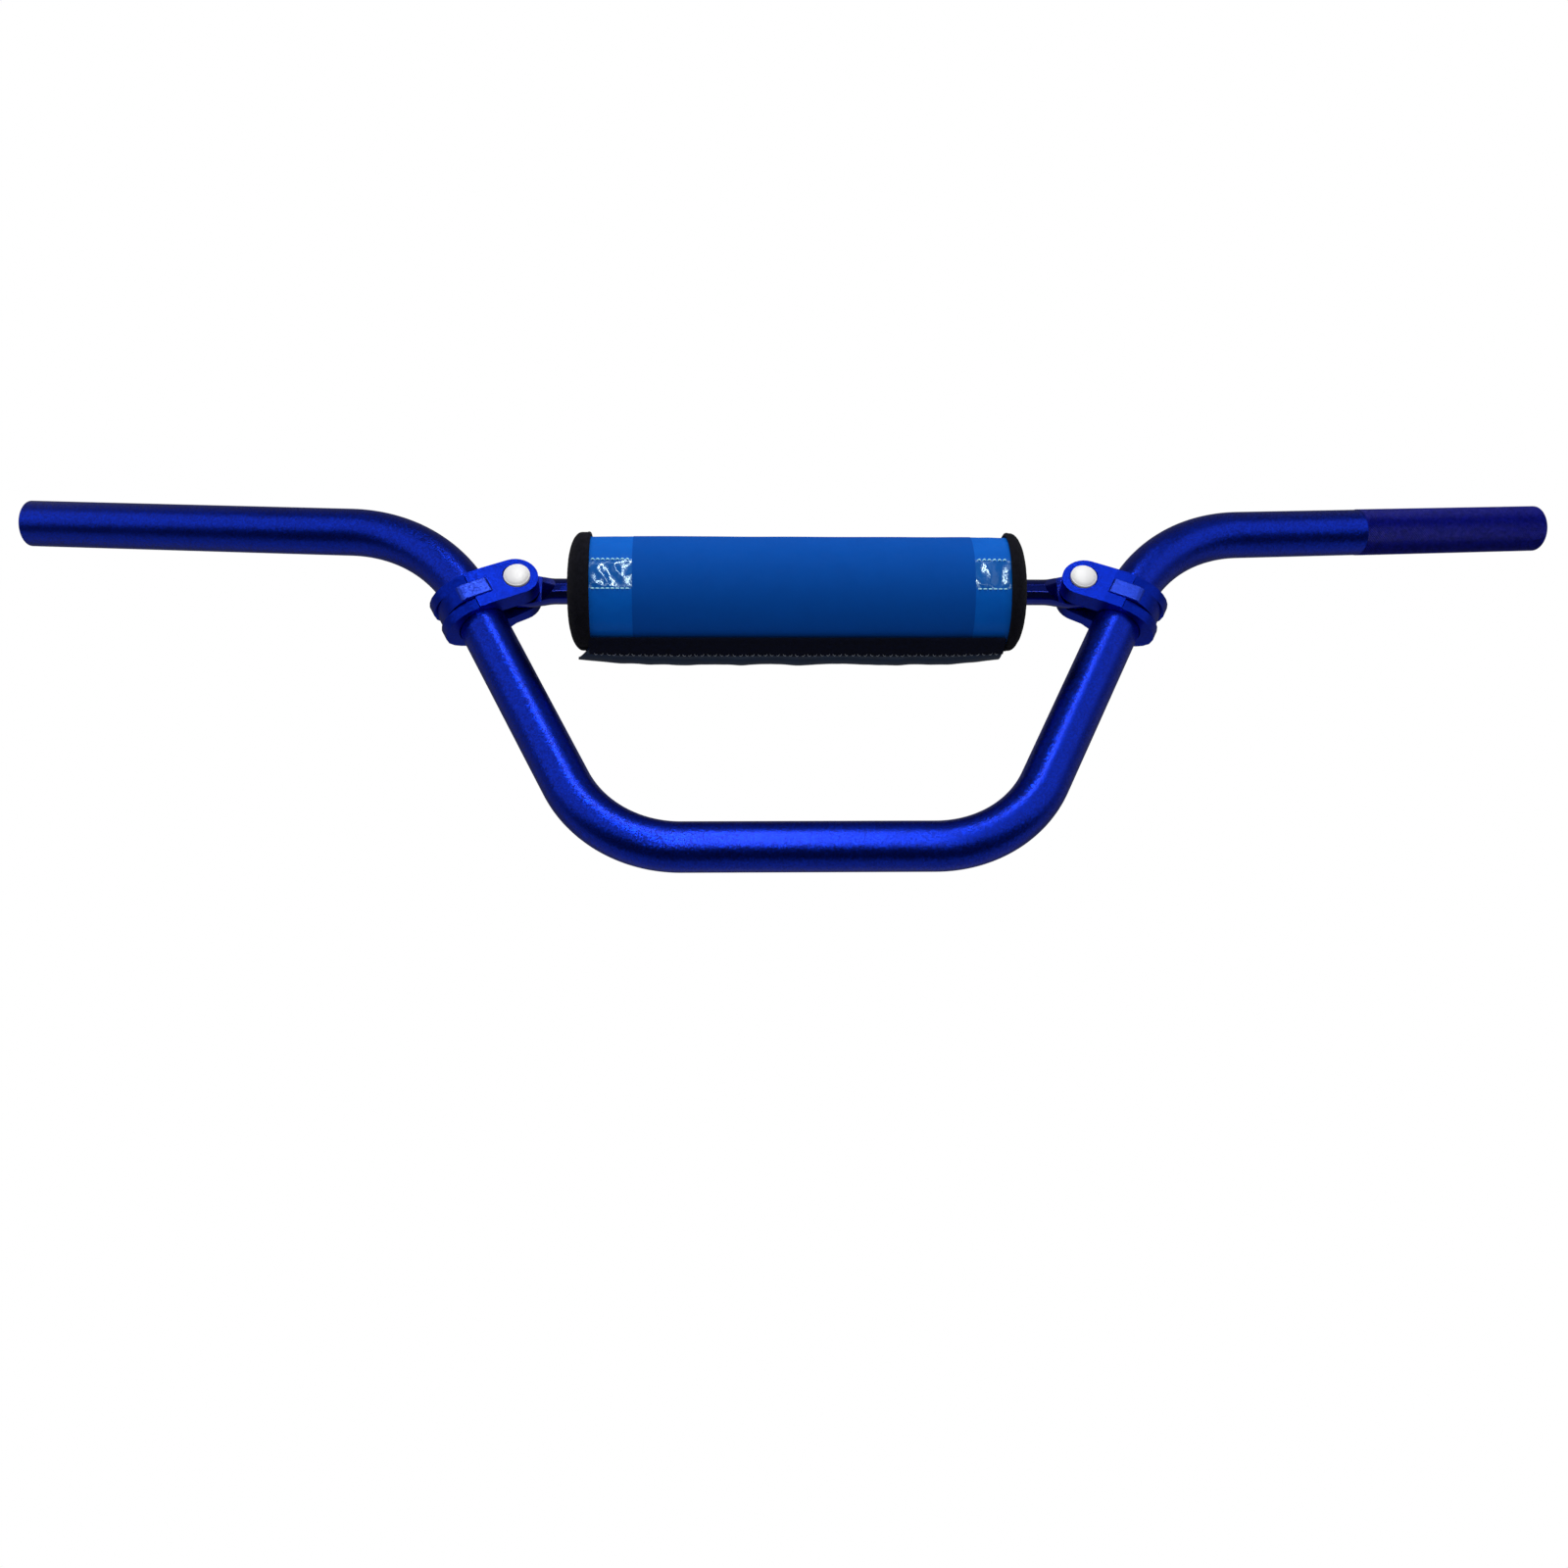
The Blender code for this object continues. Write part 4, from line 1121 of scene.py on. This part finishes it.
def make_foam():
    turns = [math.pi / 2 * i / FOAM_ROUND_STEPS for i in range(FOAM_ROUND_STEPS + 1)]
    insets = [FOAM_ROUND * (1 - math.cos(turn)) for turn in turns]
    xs = [foam_low.x + inset for inset in insets]
    xs += spaced(foam_low.x + FOAM_ROUND, foam_high.x - FOAM_ROUND, FOAM_STEP)[1:-1]
    xs += [foam_high.x - inset for inset in reversed(insets)]
    rings = wrapped_sheet(xs, foam_outside, lambda x, a: bore_radius, SLIT_ANGLE + FOAM_SLIT,
                          SLIT_ANGLE + 360 - FOAM_SLIT, FOAM_AROUND)
    points, faces = closed_sheet(rings)
    made = add_piece("foam_core", points, faces, [foam_stuff], ["pad_foam"])


make_foam()

# %% [markdown]
# Each cap is a shallow cloth bag: a sleeve with a rolled hem over the end of the cover, and a domed end that
# is gathered round the crossbar. Its section is walked once round, outside and back inside, and then swept
# round the pad. The gathers are small waves that grow towards the hole.

# %% The section of an end cap
CAP_THICKNESS = 1.8 * MM
CAP_DOME = 6.5 * MM
CROWN_RADIUS = 11 * MM
HEM = 0.7 * MM
HEM_STEPS = 6
DOME_STEPS = 12
SLEEVES = {"left": 8.0 * MM, "right": 9.9 * MM}
# From the crown over the edge of the hole to the inner side.
HOLE_EDGE = [(8.5 * MM, -0.1 * MM, 1), (bore_radius + 0.8 * MM, -0.5 * MM, 0.6), (bore_radius, -1.2 * MM, 0),
             (bore_radius + 0.4 * MM, -CAP_THICKNESS, 0), (CROWN_RADIUS, -CAP_THICKNESS, 0)]


def cap_section(side_name):
    """(radius, x towards the pad's end, strength of the gathers) round the cap's wall."""
    sleeve = SLEEVES[side_name]
    outer, wall = cap_radius + HEM / 2, CAP_THICKNESS
    section = []
    for i in range(HEM_STEPS + 1):
        turn = math.pi * i / HEM_STEPS
        section.append((outer - wall / 2 + (wall / 2 + HEM / 3) * math.cos(math.pi - turn),
                        -sleeve - wall / 2 * math.sin(turn), 0))
    section += [(outer, -sleeve + HEM * 1.5, 0), (outer, -CAP_DOME, 0)]
    turns = [math.pi / 2 * i / DOME_STEPS for i in range(DOME_STEPS + 1)]
    for i, turn in list(enumerate(turns))[1:]:
        section.append((CROWN_RADIUS + (outer - CROWN_RADIUS) * math.cos(turn),
                        -CAP_DOME * (1 - math.sin(turn)), i / DOME_STEPS))
    section += HOLE_EDGE
    for turn in reversed(turns[:-1]):
        section.append((CROWN_RADIUS - wall + (outer - CROWN_RADIUS) * math.cos(turn),
                        -wall - (CAP_DOME - wall) * (1 - math.sin(turn)), 0))
    return section


print("points in a cap's section:", {name: len(cap_section(name)) for name in SIDES})

# %% [markdown]
# Cloth is never a true surface of revolution. The section is pushed in at the slit, where the two edges of
# the cap tuck under. It is also a little dented all over, and the gathers move it along the bar.

# %% End caps
CAP_SLIT = 1.6
CAP_AROUND = 144
TUCK_DEPTH, TUCK_REACH = 0.9 * MM, 2.0
GATHERS, GATHER_HEIGHT = 22, 0.14 * MM
CREASE_HEIGHT, CREASE_SIZE, CREASE_SEED = 0.2 * MM, 6 * MM, 11
DENT_HEIGHT, DENT_SIZE, DENT_SEED = 0.12 * MM, 7 * MM, 5
DENTED_FROM = 10 * MM


def cap_ring(section, side, degrees, tuck):
    """The section at an angle round the pad."""
    tip = pad_left if side > 0 else pad_right
    ring = []
    for radius, x, gather in section:
        fold = GATHER_HEIGHT * gather * math.sin(math.radians(degrees) * GATHERS)
        fold += CREASE_HEIGHT * gather * wavy(radius, degrees, CREASE_SIZE, CREASE_SEED)
        dent = DENT_HEIGHT * wavy(x, degrees, DENT_SIZE, DENT_SEED * side)
        pushed_in = tuck + abs(dent) if radius > DENTED_FROM else 0
        ring.append(pad_point(tip + side * (x - abs(fold)), radius - pushed_in, degrees))
    return ring


def make_cap(side_name):
    section = cap_section(side_name)
    wrap = 360 - 2 * CAP_SLIT
    rings = []
    for j in range(CAP_AROUND + 1):
        to_slit = min(j, CAP_AROUND - j) / CAP_AROUND * wrap
        tuck = TUCK_DEPTH * math.exp(-to_slit / TUCK_REACH)
        degrees = SLIT_ANGLE + CAP_SLIT + wrap * j / CAP_AROUND
        rings.append(cap_ring(section, SIDES[side_name], degrees, tuck))
    points, faces = closed_rings(rings)
    made = add_piece("end_cap_" + side_name, points, faces, [cap_cloth],
                     ["pad_end_cap_" + side_name], sharp=60)


for side_name in SIDES:
    make_cap(side_name)

# %% [markdown]
# A flap of vinyl is sewn to the lower edge of the cover and closes the slit. Its dark navy colour is painted
# shade, the cover's blue as it looks in the shadow under the pad. Black tape covers its root.
# The free edge of the flap is not held everywhere, so it waves a little, and that is where it catches light.

# %% The shape of the flap
FLAP_START, FLAP_END = -90.0, -136.0
FLAP_LIFT = 8.8 * MM
FLAP_THICKNESS = 1.2 * MM
FLAP_CURL = 1.35
# Height as a share of the lift, size and seed of each wave in the free edge.
FLAP_WAVES = [(0.16, 34 * MM, 2), (0.05, 12 * MM, 9), (0.015, 5 * MM, 6)]
END_SETTLE, SETTLE_REACH = 0.3, 14 * MM

flap_low, flap_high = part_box("pad_flap")


def flap_inside(x, degrees):
    """Radius of the flap's inner skin, which lifts off towards the free edge."""
    share = max(FLAP_START - degrees, 0) / (FLAP_START - FLAP_END)
    ends = min(x - flap_low.x, flap_high.x - x)
    settle = 1 - END_SETTLE * math.exp(-ends / SETTLE_REACH)
    wave = sum(height * wavy(x, FLAP_START, size, seed) for height, size, seed in FLAP_WAVES)
    return cover_radius + GAP + FLAP_LIFT * (settle - abs(wave)) * share ** FLAP_CURL


print("the free edge stands %.1f mm off the cover" % ((flap_inside(0, FLAP_END) - cover_radius) / MM))

# %% [markdown]
# The tape, the hooks and the loops follow the flap or the cover with a small gap, so each needs only a
# radius that is worked out from theirs. Under the flap the strip of hooks meets the strip of loops on the
# cover. The flap's outer corner is drawn out to a point, as in the photograph.

# %% Flap, tape and fastener strips
CORNER_REACH, CORNER_FROM, CORNER_SHARPNESS = 6 * MM, 1 / 3, 12
TAPE_START, TAPE_END = -86.5, -111.0
TAPE_THICKNESS = 0.8 * MM
STRIP_START, STRIP_END = -117.0, -133.0
STRIP_THICKNESS = 0.8 * MM
SHEET_STEP = 2 * MM
SHEET_AROUND = 24


def tape_inside(x, degrees):
    return flap_inside(x, degrees) + FLAP_THICKNESS + GAP


def hooks_inside(x, degrees):
    return flap_inside(x, degrees) - GAP - STRIP_THICKNESS


def loops_inside(x, degrees):
    return cover_radius + GAP / 2


def make_strip(name, finish_used, stands_for, inside, thickness, start, end, corner=0.0):
    """corner is how far the free edge's corner reaches past the right-hand end."""
    xs = spaced(flap_low.x, flap_high.x, SHEET_STEP)
    rings = wrapped_sheet(xs, lambda x, a: inside(x, a) + thickness, inside, start, end, SHEET_AROUND)
    points, faces = closed_sheet(rings)
    middle = (flap_low.x + flap_high.x) / 2
    for number, point in enumerate(points):
        column = number % len(rings[0])
        share = min(column, len(rings[0]) - 1 - column) / SHEET_AROUND
        drawn = max((share - CORNER_FROM) / (1 - CORNER_FROM), 0)
        outward = max((middle - point.x) / (middle - flap_low.x), 0)
        point.x -= corner * drawn * outward ** CORNER_SHARPNESS
    add_piece(name, points, faces, [finish_used], stands_for)


make_strip("flap_sheet", flap_vinyl_painted_shade, ["pad_flap"], flap_inside, FLAP_THICKNESS,
           FLAP_START, FLAP_END, CORNER_REACH)
make_strip("root_tape", tape_cloth, ["pad_binding"], tape_inside, TAPE_THICKNESS,
           TAPE_START, TAPE_END)
make_strip("hook_tape", hook_cloth, ["pad_hook_strip"], hooks_inside, STRIP_THICKNESS,
           STRIP_START, STRIP_END)
make_strip("loop_tape", hook_cloth, ["pad_loop_strip"], loops_inside, STRIP_THICKNESS,
           STRIP_START, STRIP_END)

# %% [markdown]
# Stitches are what tells the eye that a cover is sewn. Each one is a short raised loop of thread that dives
# into the cloth at both ends. One helper lays a row of them along any line on the pad.

# %% Stitch helper
STITCH_RINGS = 6
STITCH_SIDES = 6
STITCH_RISE, STITCH_SINK = 1.6, 0.5


def stitch_rings(centres, thickness):
    """Rings round a stitch's centre line, which is bowed outwards."""
    way = (centres[-1] - centres[0]).normalized()
    out = (centres[len(centres) // 2] - (centres[0] + centres[-1]) / 2).normalized()
    across = way.cross(out)
    spokes = [out * math.cos(angle) + across * math.sin(angle) for angle in turn_angles(STITCH_SIDES)]
    return [[centre + spoke * thickness / 2 for spoke in spokes] for centre in centres]


def stitch_row(name, place, starts, length, thickness, thread, lean=0.0):
    """place(x, lift, offset) gives a point. Each stitch runs from x to x + length. lean slants them."""
    points, faces = [], []
    for number, x in enumerate(starts):
        slant = lean * (1 if number % 2 else -1)
        centres = []
        for i in range(STITCH_RINGS + 1):
            share = i / STITCH_RINGS
            lift = thickness * (STITCH_RISE * math.sin(math.pi * share) - STITCH_SINK)
            centres.append(place(x + length * share, lift, slant * (share - 0.5)))
        base = len(points)
        some_points, some_faces = closed_rings(stitch_rings(centres, thickness))
        points += some_points
        faces += [tuple(base + i for i in face) for face in some_faces]
    add_piece(name, points, faces, [thread], sharp=60)
    print("%s: %d stitches" % (name, len(starts)))


print("a stitch has %d rings of %d points" % (STITCH_RINGS + 1, STITCH_SIDES))

# %% [markdown]
# One row runs along the edge of the root tape. It is short grey stitches, laid a little unevenly. Two rows of
# pale thread hold each glossy strip of the cover, above and below, and stop where the darker field starts.

# %% Stitches
ROOT_PITCH, ROOT_LENGTH, ROOT_THREAD, ROOT_LEAN = 2.9 * MM, 1.7 * MM, 0.42 * MM, 0.8 * MM
ROOT_WANDER, WANDER_SIZE, WANDER_SEED = 0.5 * MM, 4 * MM, 13
ROOT_FROM_EDGE = 1.5
COVER_PITCH, COVER_LENGTH, COVER_THREAD = 2.4 * MM, 1.8 * MM, 0.65 * MM
# How far a row stays from the two ends of what it is sewn to.
ROOT_MARGINS = (2 * MM, 4 * MM)
RIGHT_MARGINS = (5 * MM, 3 * MM)
LEFT_MARGINS = (1 * MM, 6 * MM)


def stitch_places(start, end, margins, pitch):
    return spaced(start + margins[0], end - margins[1], pitch)


def tape_line(x, lift, offset):
    degrees = TAPE_END + ROOT_FROM_EDGE + math.degrees(offset / cover_radius)
    return pad_point(x, tape_inside(x, degrees) + TAPE_THICKNESS + lift, degrees)


def cover_line(degrees):
    """A place function for a row along the cover at an angle."""
    return lambda x, lift, offset: pad_point(x, cover_outside(x, degrees) + lift, degrees)


root_starts = [x + ROOT_WANDER * wavy(x, 0, WANDER_SIZE, WANDER_SEED)
               for x in stitch_places(flap_low.x, flap_high.x, ROOT_MARGINS, ROOT_PITCH)]
stitch_row("root_stitches", tape_line, root_starts, ROOT_LENGTH, ROOT_THREAD, grey_thread, ROOT_LEAN)
cover_starts = stitch_places(cover_ends[0], FIELD_START, RIGHT_MARGINS, COVER_PITCH)
cover_starts += stitch_places(FIELD_END, cover_ends[1], LEFT_MARGINS, COVER_PITCH)
for number, degrees in enumerate((WINDOW_TOP, WINDOW_BOTTOM)):
    stitch_row("cover_stitches_%d" % number, cover_line(degrees), cover_starts, COVER_LENGTH, COVER_THREAD,
               pale_thread_painted_glow)
